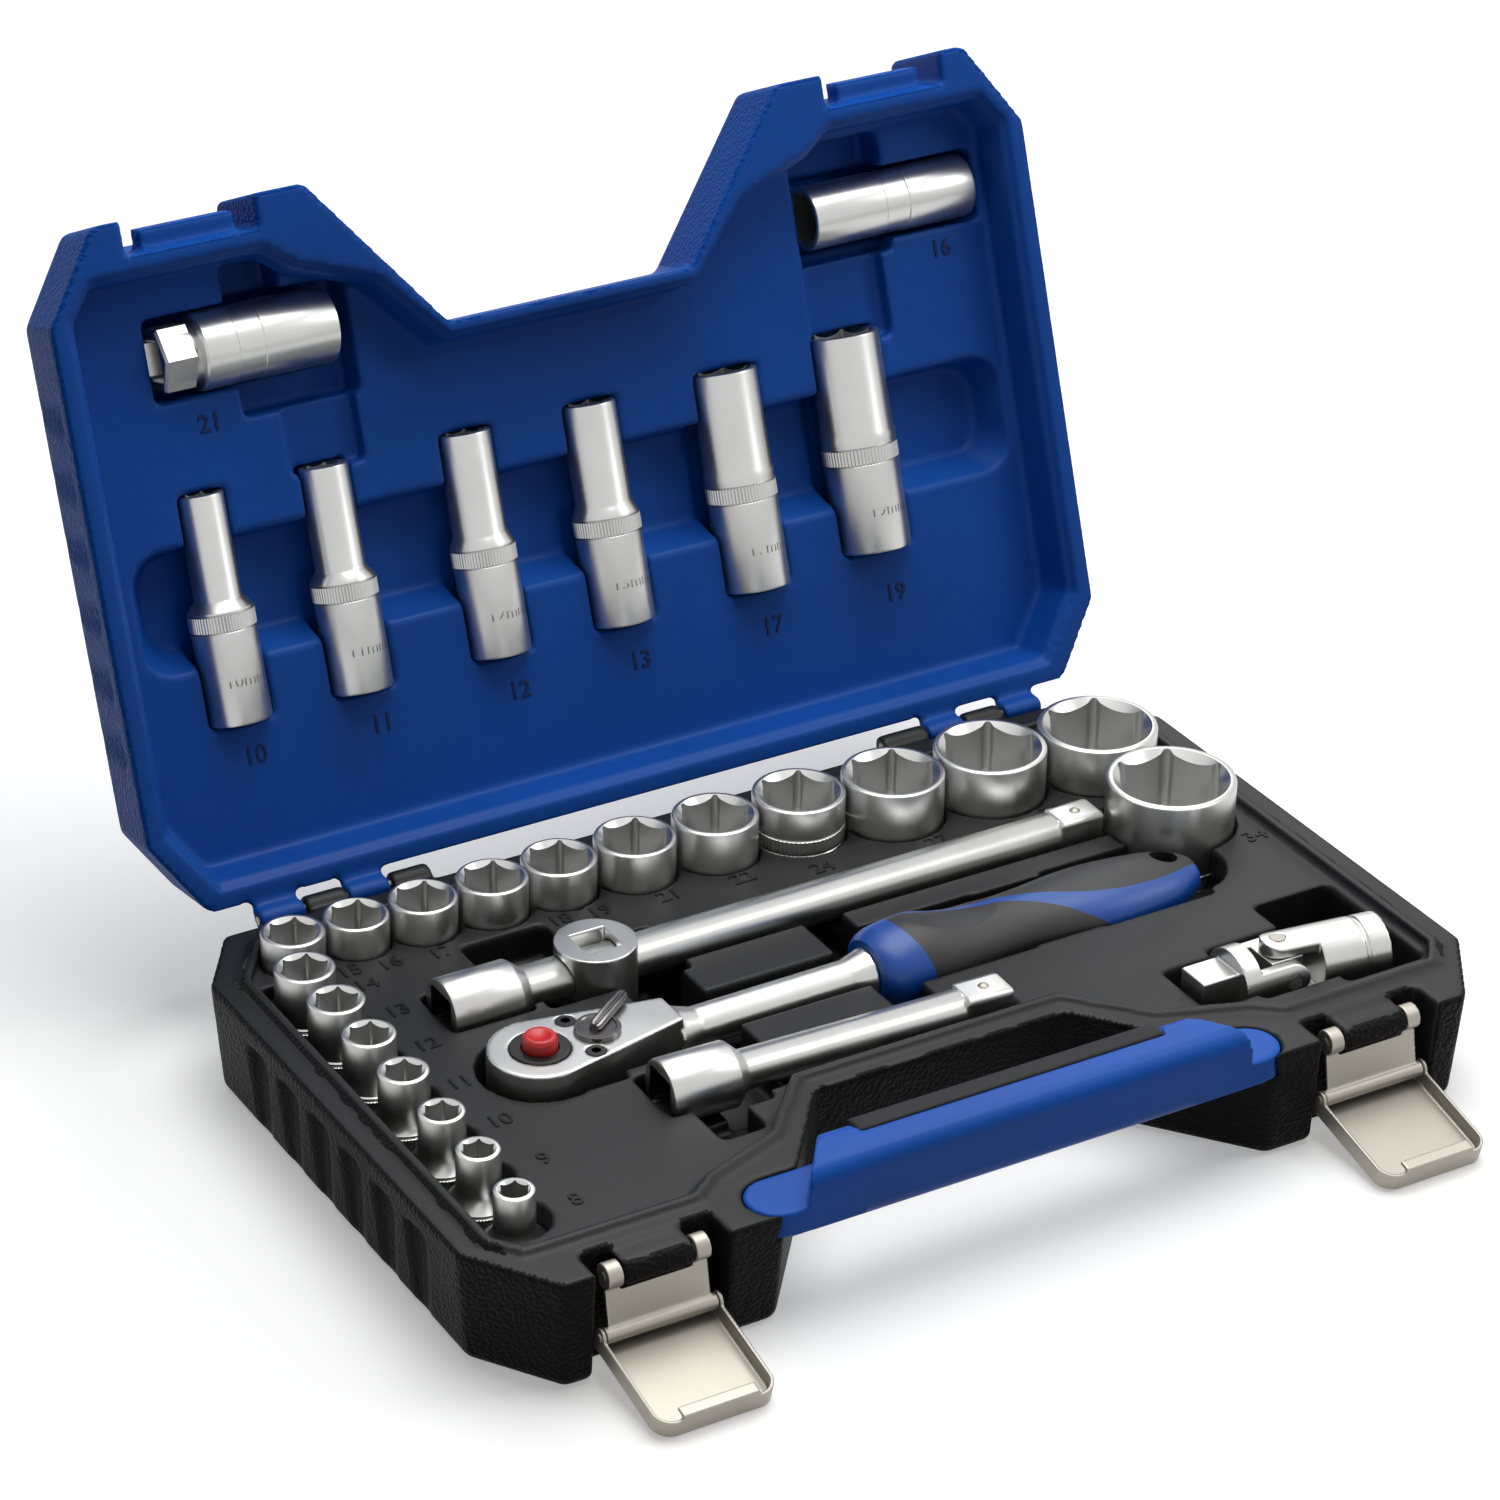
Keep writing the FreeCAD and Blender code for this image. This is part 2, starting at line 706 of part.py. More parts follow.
def build_base():
    foot = inset("base_foot", outline("base_foot_outline", case_points(), 0), -dim("base_draft"))
    block = loft("base_block", [foot, outline("base_rim", case_points(), rim)])
    block = rounded("base_rounded", block, dim("corner_round"), lambda e: is_upright(e) or at_height(e, 0))
    bead = raised("bead", outline("bead_outline", bead_points(), rim - 0.5), dim("bead_top") - rim + 0.5)
    tray = inset("tray_edge", outline("tray_outline", bead_points(), dim("tray_level")), -dim("bead_width"))
    tray_cut = raised("tray_cut", tray, 10)
    mouth = dim("bead_top") + 2
    inner_foot = inset("inner_foot", outline("inner_foot_outline", case_points(), wall), -(dim("base_draft") + wall))
    inner_top = inset("inner_top", outline("inner_top_outline", case_points(), dim("tray_level") - wall), -wall * 1.1)
    grown = base_pockets(wall, mouth)
    half = dim("latch_recess_half")
    back = dim("latch_recess_back")
    grown += latch_boxes("recess_keep", (-half - wall, -120, -1), (half + wall, back + wall, mouth))
    slot = dim("handle_tab_radius") + dim("handle_slot_gap")
    slot_floor = dim("handle_tab_bottom")
    grown += handle_slots(slot + wall, slot_floor - wall, mouth)
    grown += [keep for keep in side_keepers(0, dim("base_grip_top") + wall)]
    cavity = cut("base_cavity", loft("base_inner", [inner_foot, inner_top]), grown)
    blow = cylinder("base_blow_hole", dim("blow_hole"), wall * 4, (0, 75, -wall))
    tools = [tray_cut] + base_pockets(0, mouth)
    tools += latch_boxes("latch_recess", (-half, -120, -1), (half, back, mouth))
    tools += handle_slots(slot, slot_floor, mouth)
    tools += side_grips(as_size(-1), dim("base_grip_top"))
    tools += [cavity, blow]
    shell = cut("base_hollow", fuse("base_with_bead", [block, bead]), tools)
    pin_y = dim("latch_pin_y")
    pin_z = dim("latch_pin_z")
    barrel = dim("latch_barrel")
    knuckle_half = dim("latch_barrel_half")
    added = latch_rods("latch_barrel", barrel, knuckle_half, pin_y, pin_z)
    added += latch_boxes("latch_web", (-knuckle_half, pin_y, pin_z - barrel), (knuckle_half, back + 1, pin_z + barrel))
    added += hinge_arms("base", 4, dim("hinge_axis_z") - dim("hinge_barrel"), dim("hinge_axis_z"))
    whole = fuse("base_whole", [shell] + added)
    bores = latch_rods("latch_bore", dim("hinge_pin"), dim("latch_pin_half"), pin_y, pin_z)
    hinge_at = (-dim("case_half_width"), dim("hinge_axis_y"), dim("hinge_axis_z"))
    bores.append(cylinder("base_hinge_bore", dim("hinge_pin"), dim("case_half_width") * 2, hinge_at, "X"))
    finish(cut("base_bored", whole, bores), "base_shell")


def side_keepers(bottom, top):
    """Solid stock that stays behind the finger hollows of the end walls."""
    items = []
    depth = dim("grip_radius") - dim("grip_offset") + wall
    for side in (-1, 1):
        edge = dim("case_half_width") * side
        start, stop = (edge - depth, edge + 1) if side > 0 else (edge - 1, edge + depth)
        reach = dim("grip_spacing") * 2.5 + dim("grip_radius") + wall
        items.append(box("grip_stock", (start, -reach, bottom), (stop, reach, top)))
    return items


def handle_slots(radius, floor, mouth):
    """Room for the round ends of the carrying handle in the two lobes."""
    items = []
    for side in (-1, 1):
        x = dim("handle_tab_x") * side
        y = dim("handle_tab_y")
        items.append(cylinder("handle_slot", radius, mouth - floor, (x, y, floor)))
        ends = sorted([x, x - 30 * side], key=lambda size: size.value)
        items.append(box("handle_way", (ends[0], y - radius, floor), (ends[1], y + radius, mouth)))
    return items


def build_lid():
    top = dim("lid_top")
    panel = dim("lid_panel")
    crown = inset("lid_crown", outline("lid_crown_outline", case_points(), top), -dim("lid_draft"))
    block = loft("lid_block", [outline("lid_rim", case_points(), rim), crown])
    block = rounded("lid_rounded", block, dim("corner_round"), lambda e: is_upright(e) or at_height(e, top.value))

    def recess(name, grow):
        step = rim + dim("recess_lip_depth")
        lip = inset(name + "_lip", outline(name + "_lip_outline", bead_points(), rim - 1), dim("recess_lip") + grow)
        shoulder = inset(name + "_shoulder", outline(name + "_shoulder_outline", bead_points(), rim - 1),
                         dim("recess_shoulder") + grow)
        foot = inset(name + "_foot", outline(name + "_foot_outline", bead_points(), panel + grow),
                     -dim("recess_draft") + grow)
        return [raised(name + "_step", lip, step - rim + 1 + grow), loft(name + "_well", [shoulder, foot])]

    mouth = panel - 2
    half = dim("keeper_recess_half")
    back = dim("keeper_recess_back")
    ceiling = top + 1
    inner_rim = inset("lid_inner_rim", outline("lid_inner_rim_outline", case_points(), rim + wall), -wall * 1.2)
    inner_crown = inset("lid_inner_crown", outline("lid_inner_crown_outline", case_points(), top - wall),
                        -(dim("lid_draft") + wall))
    grown = recess("recess_stock", wall) + lid_pockets(wall, mouth)
    grown += latch_boxes("keeper_stock", (-half - wall, -120, 0), (half + wall, back + wall, ceiling + wall))
    grown += side_keepers(dim("lid_grip_bottom") - wall, top)
    cavity = cut("lid_cavity", loft("lid_inner", [inner_rim, inner_crown]), grown)
    blow = cylinder("lid_blow_hole", dim("blow_hole"), wall * 4, (0, 85, top - wall * 2))
    tools = recess("lid_recess", as_size(0)) + lid_pockets(as_size(0), mouth)
    tools += latch_boxes("latch_window", (-half, -120, 0), (half, back, ceiling))
    tools += side_grips(dim("lid_grip_bottom"), top + 1)
    tools += [cavity, blow]
    shell = cut("lid_hollow", block, tools)
    keeper = dim("keeper_half")
    low = dim("keeper_bottom")
    added = latch_boxes("keeper", (-keeper, dim("keeper_front"), low), (keeper, back + 1, dim("keeper_top")))
    added += hinge_arms("lid", 4, rim + 0.1, dim("hinge_axis_z") + dim("hinge_barrel"))
    whole = fuse("lid_whole", [shell] + added)
    hinge_at = (-dim("case_half_width"), dim("hinge_axis_y"), dim("hinge_axis_z"))
    bore = cylinder("lid_hinge_bore", dim("hinge_pin") + dim("running_gap"), dim("case_half_width") * 2, hinge_at, "X")
    opened(cut("lid_bored", whole, [bore]), "lid_shell")


def build_hinge_pins():
    pins = []
    for first, last in (("lid_knuckle_a_start", "base_knuckle_b_stop"), ("base_knuckle_c_start", "lid_knuckle_d_stop")):
        at = (dim(first) + 0.5, dim("hinge_axis_y"), dim("hinge_axis_z"))
        pins.append(cylinder("hinge_pin", dim("hinge_pin"), dim(last) - dim(first) - 1, at, "X"))
    finish(fuse("hinge_pin_pair", pins), "hinge_pins")


def build_latches():
    pin = dim("hinge_pin")
    gap = dim("running_gap")
    pins = latch_rods("pivot", pin, dim("latch_pin_half"), dim("latch_pin_y"), dim("latch_pin_z"))
    finish(fuse("pivot_pair", pins), "latch_pivot_pins")
    length = dim("link_length")
    lean = FreeCAD.Rotation(V(1, 0, 0), -dim("link_lean").value)
    for side, name in ((-1, "left"), (1, "right")):
        pivot = V(dim("latch_x").value * side, dim("latch_pin_y").value, dim("latch_pin_z").value)
        knee = pivot + lean.multVec(V(0, 0, -length.value))
        inner = dim("link_ear_inner")
        outer = dim("link_ear_outer")
        ear = dim("link_ear")
        thick = dim("link_plate") * 0.5
        pieces = []
        for hand in (-1, 1):
            start = inner if hand > 0 else -outer
            stop = outer if hand > 0 else -inner
            pieces.append(cylinder("ear", ear, stop - start, (start, 0, 0), "X"))
            pieces.append(box("ear_leg", (start, -thick, -length), (stop, thick, 0)))
        knee_half = dim("link_barrel_half")
        pieces.append(cylinder("knee", dim("link_barrel"), knee_half * 2, (-knee_half, 0, -length), "X"))
        pieces.append(box("link_plate", (-outer, -thick, -length), (outer, thick, -dim("latch_barrel") - 0.8)))
        holes = [
            cylinder("link_bore", pin + gap, outer * 2 + 2, (-outer - 1, 0, 0), "X"),
            cylinder("knee_bore", pin, knee_half * 2 + 2, (-knee_half - 1, 0, -length), "X"),
        ]
        link = cut(name + "_link", fuse("link_whole", pieces), holes)
        link.Placement = FreeCAD.Placement(pivot, lean)
        finish(link, name + "_latch_link")
        half = dim("link_pin_half")
        link_pin = fuse(name + "_pin", [cylinder("link_pin", pin, half * 2, (0, 0, 0), "X")])
        link_pin.Label = name + "_link_pin"
        put(link_pin, (knee.x - half, knee.y, knee.z), "X")
        PARTS.append(link_pin)
        build_lever(name, knee)


def build_lever(name, knee):
    """One sheet lever, drawn shut and upright about its pin, then tipped out to where it rests."""
    length = dim("lever_length")
    half = dim("lever_half")
    face = dim("lever_face")
    sheet_gauge = dim("lever_sheet")
    eye = dim("lever_eye")
    lip = dim("lever_lip_half")
    pieces = [
        box("lever_plate", (-half, -face, -eye), (half, sheet_gauge - face, length)),
        box("lever_end", (-half, -face, length - sheet_gauge), (half, 0, length)),
        box("lever_lip", (-lip, -face, length - sheet_gauge), (lip, dim("lever_lip_reach"), length)),
    ]
    for hand in (-1, 1):
        start = half - sheet_gauge if hand > 0 else -half
        stop = half if hand > 0 else sheet_gauge - half
        pieces.append(box("flange", (start, -face, -eye), (stop, 0, length)))
        pieces.append(cylinder("eye", eye, sheet_gauge, (start, 0, 0), "X"))
    hole = cylinder("lever_bore", dim("hinge_pin") + dim("running_gap"), half * 2 + 2, (-half - 1, 0, 0), "X")
    lever = cut(name + "_lever", fuse("lever_whole", pieces), [hole])
    tip = FreeCAD.Rotation(V(1, 0, 0), 90 + dim("lever_tilt").value)
    lever.Placement = FreeCAD.Placement(knee, tip)
    finish(lever, name + "_latch_lever")


def build_carry_handle():
    front = dim("handle_front")
    back = dim("handle_back")
    points = mirrored([(dim("handle_back_half"), back), (dim("handle_front_half"), front)])
    bottom = dim("handle_bottom")
    body = raised("handle_bar", outline("handle_plan", points, bottom), dim("handle_top") - bottom)

    def long_edge(edge):
        ends = edge.Vertexes
        return abs(ends[0].Z - ends[1].Z) < 0.01 and abs(ends[0].Y - ends[1].Y) < 0.01

    body = rounded("handle_soft", body, dim("handle_round"), long_edge)
    pieces = [body]
    radius = dim("handle_tab_radius")
    y = dim("handle_tab_y")
    low = dim("handle_tab_bottom")
    high = dim("handle_tab_top")
    for side in (-1, 1):
        x = dim("handle_tab_x") * side
        pieces.append(cylinder("tab_end", radius, high - low, (x, y, low)))
        inner = x - 26 * side
        ends = sorted([x, inner], key=lambda size: size.value)
        pieces.append(box("tab", (ends[0], y - radius, low), (ends[1], y + radius, high)))
    whole = fuse("handle_whole", pieces)
    half = dim("insert_half")

    def pad(name):
        return box(name, (-half, dim("insert_front"), dim("insert_bottom")),
                   (half, dim("insert_back"), dim("insert_top")))

    finish(cut("handle_cut", whole, [pad("pad_room")]), "carry_handle")
    soft = pad("pad")
    soft = rounded("pad_soft", soft, dim("handle_round") * 0.5,
                   lambda e: long_edge(e) and e.Vertexes[0].Z > 50 and e.Vertexes[0].Y > -95)
    finish(soft, "handle_grip")


def square(name, half, start, stop, axis="Z"):
    if axis == "Z":
        return box(name, (-half, -half, start), (half, half, stop))
    return box(name, (start, -half, -half), (stop, half, half))


def build_sockets():
    drive = dim("drive_square") * 0.5 + dim("drive_gap") * 0.5
    for size in SOCKETS:
        key = "socket_%02d" % size
        radius = dim(key + "_outer") * 0.5
        length = dim(key + "_length")
        flats = dim(key + "_flats") + dim("hex_gap")
        pieces = [cylinder("sleeve", radius, length)]
        if size in FOOTED:
            foot = dim("socket_foot") * 0.5
            step = dim("socket_foot_length")
            pieces.append(cylinder("foot", foot, step))
            pieces.append(cone("flare", foot, radius, dim("socket_flare"), (0, 0, step)))
        hex_depth = flats * 0.62 if size > 24 else dim("socket_hex_depth")
        corner = flats * (0.5 / math.cos(math.radians(30)))
        lead = corner - flats * 0.5 + 0.3
        holes = [
            hexagon("hex", flats, hex_depth + 1, (0, 0, length - hex_depth)),
            cone("lead_in", flats * 0.5, corner + 0.3, lead, (0, 0, length - lead)),
            square("drive", drive, -1, dim("drive_depth")),
            cylinder("bore", dim("socket_bore"), length),
        ]
        item = cut(key + "_cut", fuse(key + "_body", pieces), holes)
        put(item, (dim(key + "_x"), dim(key + "_y"), dim("socket_floor")))
        finish(item, key)


def build_deep_sockets():
    drive = dim("drive_square") * 0.5 + dim("drive_gap") * 0.5
    length = dim("deep_length")
    hex_length = dim("deep_hex_length")
    for size in DEEP:
        key = "deep_%02d" % size
        thin = dim(key + "_hex") * 0.5
        thick = dim(key + "_drive") * 0.5
        flats = dim(key + "_flats") + dim("hex_gap")
        step = length - hex_length - dim("socket_shoulder")
        knurl = dim("deep_knurl_length")
        pieces = [
            cylinder("sleeve", thin, length),
            cylinder("foot", thick, step),
            cone("shoulder", thick, thin, dim("socket_shoulder"), (0, 0, step)),
            cylinder("knurl", thick + dim("deep_knurl"), knurl, (0, 0, step - knurl - 1)),
        ]
        corner = flats * (0.5 / math.cos(math.radians(30)))
        lead = corner - flats * 0.5 + 0.3
        depth = dim("deep_hex_depth")
        holes = [
            hexagon("hex", flats, depth + 1, (0, 0, length - depth)),
            cone("lead_in", flats * 0.5, corner + 0.3, lead, (0, 0, length - lead)),
            square("drive", drive, -1, dim("drive_depth")),
            cylinder("bore", dim("socket_bore"), length),
        ]
        item = cut(key + "_cut", fuse(key + "_body", pieces), holes)
        place = V(dim(key + "_x").value, dim(key + "_end").value, dim("deep_axis_z").value)
        item.Placement = FreeCAD.Placement(place, TURNS["-Y"])
        opened(item, "deep_socket_%02d" % size)


def build_spark_sockets():
    drive = dim("drive_square") * 0.5 + dim("drive_gap") * 0.5
    for size in SPARK:
        key = "spark_%02d" % size
        radius = dim(key + "_outer") * 0.5
        length = dim(key + "_length")
        flats = dim(key + "_flats") + dim("hex_gap")
        depth = dim("spark_hex_depth")
        ring = dim("spark_insert_length")
        ring_radius = dim(key + "_flats") * 0.5 - 0.3
        head = dim("spark_head")
        if size == 21:
            pieces = [
                hexagon("head", radius * 1.74, head),
                cylinder("sleeve", radius, length - head, (0, 0, head)),
            ]
        else:
            pieces = [cylinder("sleeve", radius, length)]
        holes = [
            hexagon("hex", flats, depth + 1, (0, 0, length - depth)),
            cylinder("insert_room", ring_radius, ring + depth, (0, 0, length - depth - ring)),
            square("drive", drive, -1, dim("drive_depth")),
            cylinder("bore", dim("socket_bore"), length),
        ]
        turn = TURNS["X"] if size == 21 else TURNS["-X"]
        place = FreeCAD.Placement(V(dim(key + "_end").value, dim(key + "_y").value, dim(key + "_z").value), turn)
        item = cut(key + "_cut", fuse(key + "_body", pieces), holes)
        item.Placement = place
        opened(item, "spark_socket_%02d" % size)
        at = (0, 0, length - depth - ring)
        sleeve = cylinder("insert", ring_radius, ring, at)
        hole = cylinder("insert_hole", ring_radius - dim("spark_insert_wall"), ring + 2, (0, 0, at[2] - 1))
        rubber = cut(key + "_ring", sleeve, [hole])
        rubber.Placement = place
        opened(rubber, "spark_insert_%02d" % size)


def build_extension(name, start, turn, length, collar_length, shank):
    """One extension bar, drawn along X from its square hole."""
    drive = dim("drive_square") * 0.5
    collar = dim("bar_collar")
    shoulder = dim("bar_shoulder")
    male = dim("bar_square_length")
    chamfer = dim("drive_chamfer")
    nose = length - male
    pieces = [
        cylinder("collar", collar, collar_length, (0, 0, 0), "X"),
        cone("shoulder", collar, shank, shoulder, (collar_length, 0, 0), "X"),
        cylinder("shank", shank, nose - collar_length, (collar_length, 0, 0), "X"),
        square("male", drive, nose - 1, length, "X"),
    ]
    body = fuse(name + "_body", pieces)
    tip = cone("tip", drive * 1.5 + chamfer, drive * 1.06, male + 3, (nose - 3, 0, 0), "X")
    rest = box("rest", (-1, -collar - 1, -collar - 1), (nose - 2.9, collar + 1, collar + 1))
    body = common(name + "_tipped", [body, fuse(name + "_envelope", [tip, rest])])
    ball_x = length - male * 0.5
    seat = cylinder("seat", dim("ball_seat"), dim("ball_seat_depth") + 1, (ball_x, 0, drive - dim("ball_seat_depth")))
    hole = square("female", drive + dim("drive_gap") * 0.5, -1, dim("drive_depth"), "X")
    bar = cut(name + "_cut", body, [seat, hole])
    place = FreeCAD.Placement(start, turn)
    bar.Placement = place
    finish(bar, name)
    centre = drive.value + dim("ball_stand").value - dim("ball_radius").value
    ball = sphere(name + "_sphere", dim("ball_radius"), (0, 0, 0))
    at = place.multVec(V(ball_x.value, 0, centre))
    put(ball, (at.x, at.y, at.z))
    finish(ball, name + "_ball")


def build_extensions():
    start = V(dim("long_start").value, dim("long_y").value, dim("bar_z").value)
    build_extension("long_extension", start, FreeCAD.Rotation(), dim("long_length"), dim("long_collar_length"),
                    dim("long_shank"))
    start = V(dim("short_x").value, dim("short_y").value, dim("bar_z").value)
    turn = FreeCAD.Rotation(V(0, 0, 1), -dim("short_yaw").value)
    build_extension("short_extension", start, turn, dim("short_length"), dim("short_collar_length"),
                    dim("short_shank"))
    drive = dim("drive_square") * 0.5
    radius = dim("adapter_radius")
    low = dim("adapter_bottom")
    pieces = [
        cylinder("adapter_body", radius, dim("adapter_top") - low, (0, 0, low)),
        square("adapter_male", drive, dim("adapter_foot"), low + 1),
    ]
    holes = [
        cylinder("adapter_cross", dim("adapter_hole"), radius * 2 + 2, (-radius - 1, 0, dim("bar_z")), "X"),
        square("adapter_female", drive + dim("drive_gap") * 0.5, dim("bar_z"), dim("adapter_top") + 1),
    ]
    item = cut("adapter_cut", fuse("adapter_whole", pieces), holes)
    put(item, (dim("adapter_x"), dim("long_y"), 0))
    finish(item, "bar_adapter")


def build_ratchet():
    """The ratchet about the middle of its head, the handle along X, then laid into the tray."""
    place = FreeCAD.Placement(V(dim("head_x").value, dim("head_y").value, 0),
                              FreeCAD.Rotation(V(0, 0, 1), dim("ratchet_yaw").value))

    def laid(item, label):
        item.Placement = place.multiply(item.Placement)
        finish(item, label)

    low = dim("head_bottom")
    high = dim("head_top")
    gap = dim("gear_gap")
    neck = dim("neck_x")
    waist = dim("neck_half")
    z = dim("shank_z")
    shank = dim("shank_radius")
    handle = dim("handle_start")
    tangent_x = dim("head_tangent_x")
    tangent_y = dim("head_tangent_y")
    taper = [(tangent_x, -tangent_y), (neck, -waist), (neck, waist), (tangent_x, tangent_y)]
    pieces = [
        cylinder("head", dim("head_radius"), high - low, (0, 0, low)),
        raised("taper", outline("taper_plan", taper, low), high - low),
        cone("neck_end", waist + 2.6, shank, 9, (neck - 1, 0, z), "X"),
        cylinder("ratchet_shank", shank, handle - neck + 1, (neck - 1, 0, z), "X"),
        cone("flare", shank, dim("shank_flare"), 8, (handle - 8, 0, z), "X"),
    ]
    gear = dim("gear_radius")
    screw_x = dim("screw_x")
    screw_y = dim("screw_y")
    selector = dim("lever_x")
    holes = [
        cylinder("gear_room", gear + gap, dim("gear_top") - dim("gear_bottom") + 0.3, (0, 0, dim("gear_bottom") - 0.15)),
        cylinder("hub_hole", dim("gear_hub_hole"), 5, (0, 0, low - 1)),
        cylinder("ring_hole", dim("ring_radius"), 6, (0, 0, high - 3)),
        box("pawl_room", (gear - 3, -dim("pawl_room_half"), dim("pawl_bottom") - 0.3),
            (dim("pawl_room_back"), dim("pawl_room_half"), dim("pawl_top") + 0.3)),
        cylinder("selector_hole", dim("selector_shaft") + 0.1, high, (selector, 0, dim("pawl_bottom"))),
    ]
    for hand in (-1, 1):
        holes.append(cylinder("screw_room", dim("screw_radius"), 8, (screw_x, screw_y * hand, dim("screw_depth"))))
    laid(cut("ratchet_cut", fuse("ratchet_whole", pieces), holes), "ratchet_body")
    screws = []
    for hand in (-1, 1):
        at = (screw_x, screw_y * hand, dim("screw_depth"))
        shaft = cylinder("screw", dim("screw_radius"), high - dim("screw_depth") + 0.2, at)
        key = hexagon("screw_key", dim("screw_key"), 4, (screw_x, screw_y * hand, high - 2))
        screws.append(cut("screw_%s" % ("a" if hand < 0 else "b"), shaft, [key]))
    laid(fuse("screw_pair", screws), "head_screws")
    ring = cylinder("ring", dim("ring_radius"), dim("ring_top") - dim("ring_bottom"), (0, 0, dim("ring_bottom")))
    bore = cylinder("ring_bore", dim("ring_bore"), 10, (0, 0, dim("ring_bottom") - 2))
    laid(cut("ring_cut", ring, [bore]), "button_ring")
    drive = dim("drive_square") * 0.5
    teeth = [
        cylinder("gear_disc", gear, dim("gear_top") - dim("gear_bottom"), (0, 0, dim("gear_bottom"))),
        cylinder("gear_hub", dim("gear_hub"), 4, (0, 0, dim("gear_bottom") - 3)),
        square("gear_square", drive, dim("square_tip"), dim("gear_bottom")),
    ]
    ball_z = (dim("square_tip") + dim("gear_bottom") - 3) * 0.5
    seat_at = (0, dim("ball_seat_depth") - drive, ball_z)
    wells = [
        cylinder("button_well", dim("ring_bore"), 20, (0, 0, dim("button_well"))),
        cylinder("drive_seat", dim("ball_seat"), dim("ball_seat_depth") + 1, seat_at, "-Y"),
    ]
    laid(cut("gear_cut", fuse("gear_whole", teeth), wells), "drive_gear")
    centre = drive + dim("ball_stand") - dim("ball_radius")
    ball = sphere("drive_sphere", dim("ball_radius"), (0, -centre, ball_z))
    laid(fuse("drive_ball_shape", [ball, cylinder("ball_core", 0.5, 1, (0, -centre, ball_z - 0.5))]), "drive_ball")
    button = cylinder("button", dim("button_radius"), dim("button_top") - dim("button_bottom"),
                      (0, 0, dim("button_bottom")))
    button = rounded("button_soft", button, dim("drive_chamfer"), lambda e: at_height(e, dim("button_top").value))
    laid(button, "release_button")
    build_selector(laid)
    build_grip(laid)


def build_selector(laid):
    high = dim("head_top")
    x = dim("lever_x")
    arm = dim("selector_arm_width") * 0.5
    disc_top = dim("selector_top")
    thumb = box("thumb", (0, -arm, high + 0.1), (dim("selector_arm"), arm, dim("selector_arm_top")))
    turn = FreeCAD.Rotation(V(0, 0, 1), dim("selector_angle").value)
    thumb = fuse("thumb_arm", [thumb, cylinder("thumb_end", arm, dim("selector_arm_top") - high - 0.1,
                                               (dim("selector_arm"), 0, high + 0.1))])
    thumb.Placement = FreeCAD.Placement(V(x.value, 0, 0), turn)
    bottom = dim("selector_shaft_bottom")
    pieces = [
        cylinder("selector_disc", dim("selector_radius"), disc_top - high - 0.1, (x, 0, high + 0.1)),
        cylinder("selector_shaft", dim("selector_shaft"), disc_top - bottom, (x, 0, bottom)),
        thumb,
    ]
    laid(fuse("selector", pieces), "reversing_lever")
    half = dim("pawl_half")
    low = dim("pawl_bottom")
    top = dim("pawl_top")
    bar = box("pawl_bar", (dim("pawl_front"), -half, low), (dim("pawl_back"), half, top))
    heel = cylinder("pawl_heel", 1.6, top - low, (dim("pawl_back") - 1.7, half, low))
    toe = cylinder("pawl_toe", 1.6, top - low, (dim("pawl_back") - 1.7, -half, low))
    laid(fuse("pawl", [bar, heel, toe]), "ratchet_pawl")


def build_grip(laid):
    z = dim("shank_z")

    def sections(name, shrink, letters):
        rings = []
        for letter in letters:
            key = "grip_section_" + letter
            ring = doc.addObject("Part::Ellipse", name)
            bind(ring, "MajorRadius", dim(key + "_width") - shrink)
            bind(ring, "MinorRadius", dim(key + "_height") - shrink)
            ring.Placement = FreeCAD.Placement(V(0, 0, 0), FreeCAD.Rotation(V(1, 1, 1), 120))
            bind(ring, "Placement.Base.x", dim(key + "_x"))
            bind(ring, "Placement.Base.z", z)
            rings.append(ring)
        return rings

    shrink = dim("core_inset")
    outer = loft("grip_outer", sections("grip_ring", as_size(0), "abcdefghi"), False)
    collar_end = dim("collar_end")
    big = 40

    def slab(name, start, stop):
        return box(name, (start, -big, z - big), (stop, big, z + big))

    collar = common("collar", [outer, slab("collar_slab", dim("handle_start"), collar_end)])
    core = loft("grip_core", sections("core_ring", shrink, "abcdefgh"), False)
    hang = dim("hang_x")

    def eye(name, radius):
        return cylinder(name, radius, big * 2, (hang, 0, z - big))

    laid(cut("core_cut", fuse("core_whole", [collar, core]), [eye("core_eye", dim("hang_radius"))]), "ratchet_handle")
    twin_outer = loft("sleeve_outer", sections("sleeve_ring", as_size(0), "abcdefghi"), False)
    twin_core = loft("sleeve_core", sections("sleeve_core_ring", shrink, "abcdefgh"), False)
    sleeve = common("sleeve", [twin_outer, slab("sleeve_slab", collar_end, dim("grip_section_i_x"))])
    laid(cut("sleeve_cut", sleeve, [twin_core, eye("sleeve_eye", dim("hang_radius"))]), "ratchet_grip")


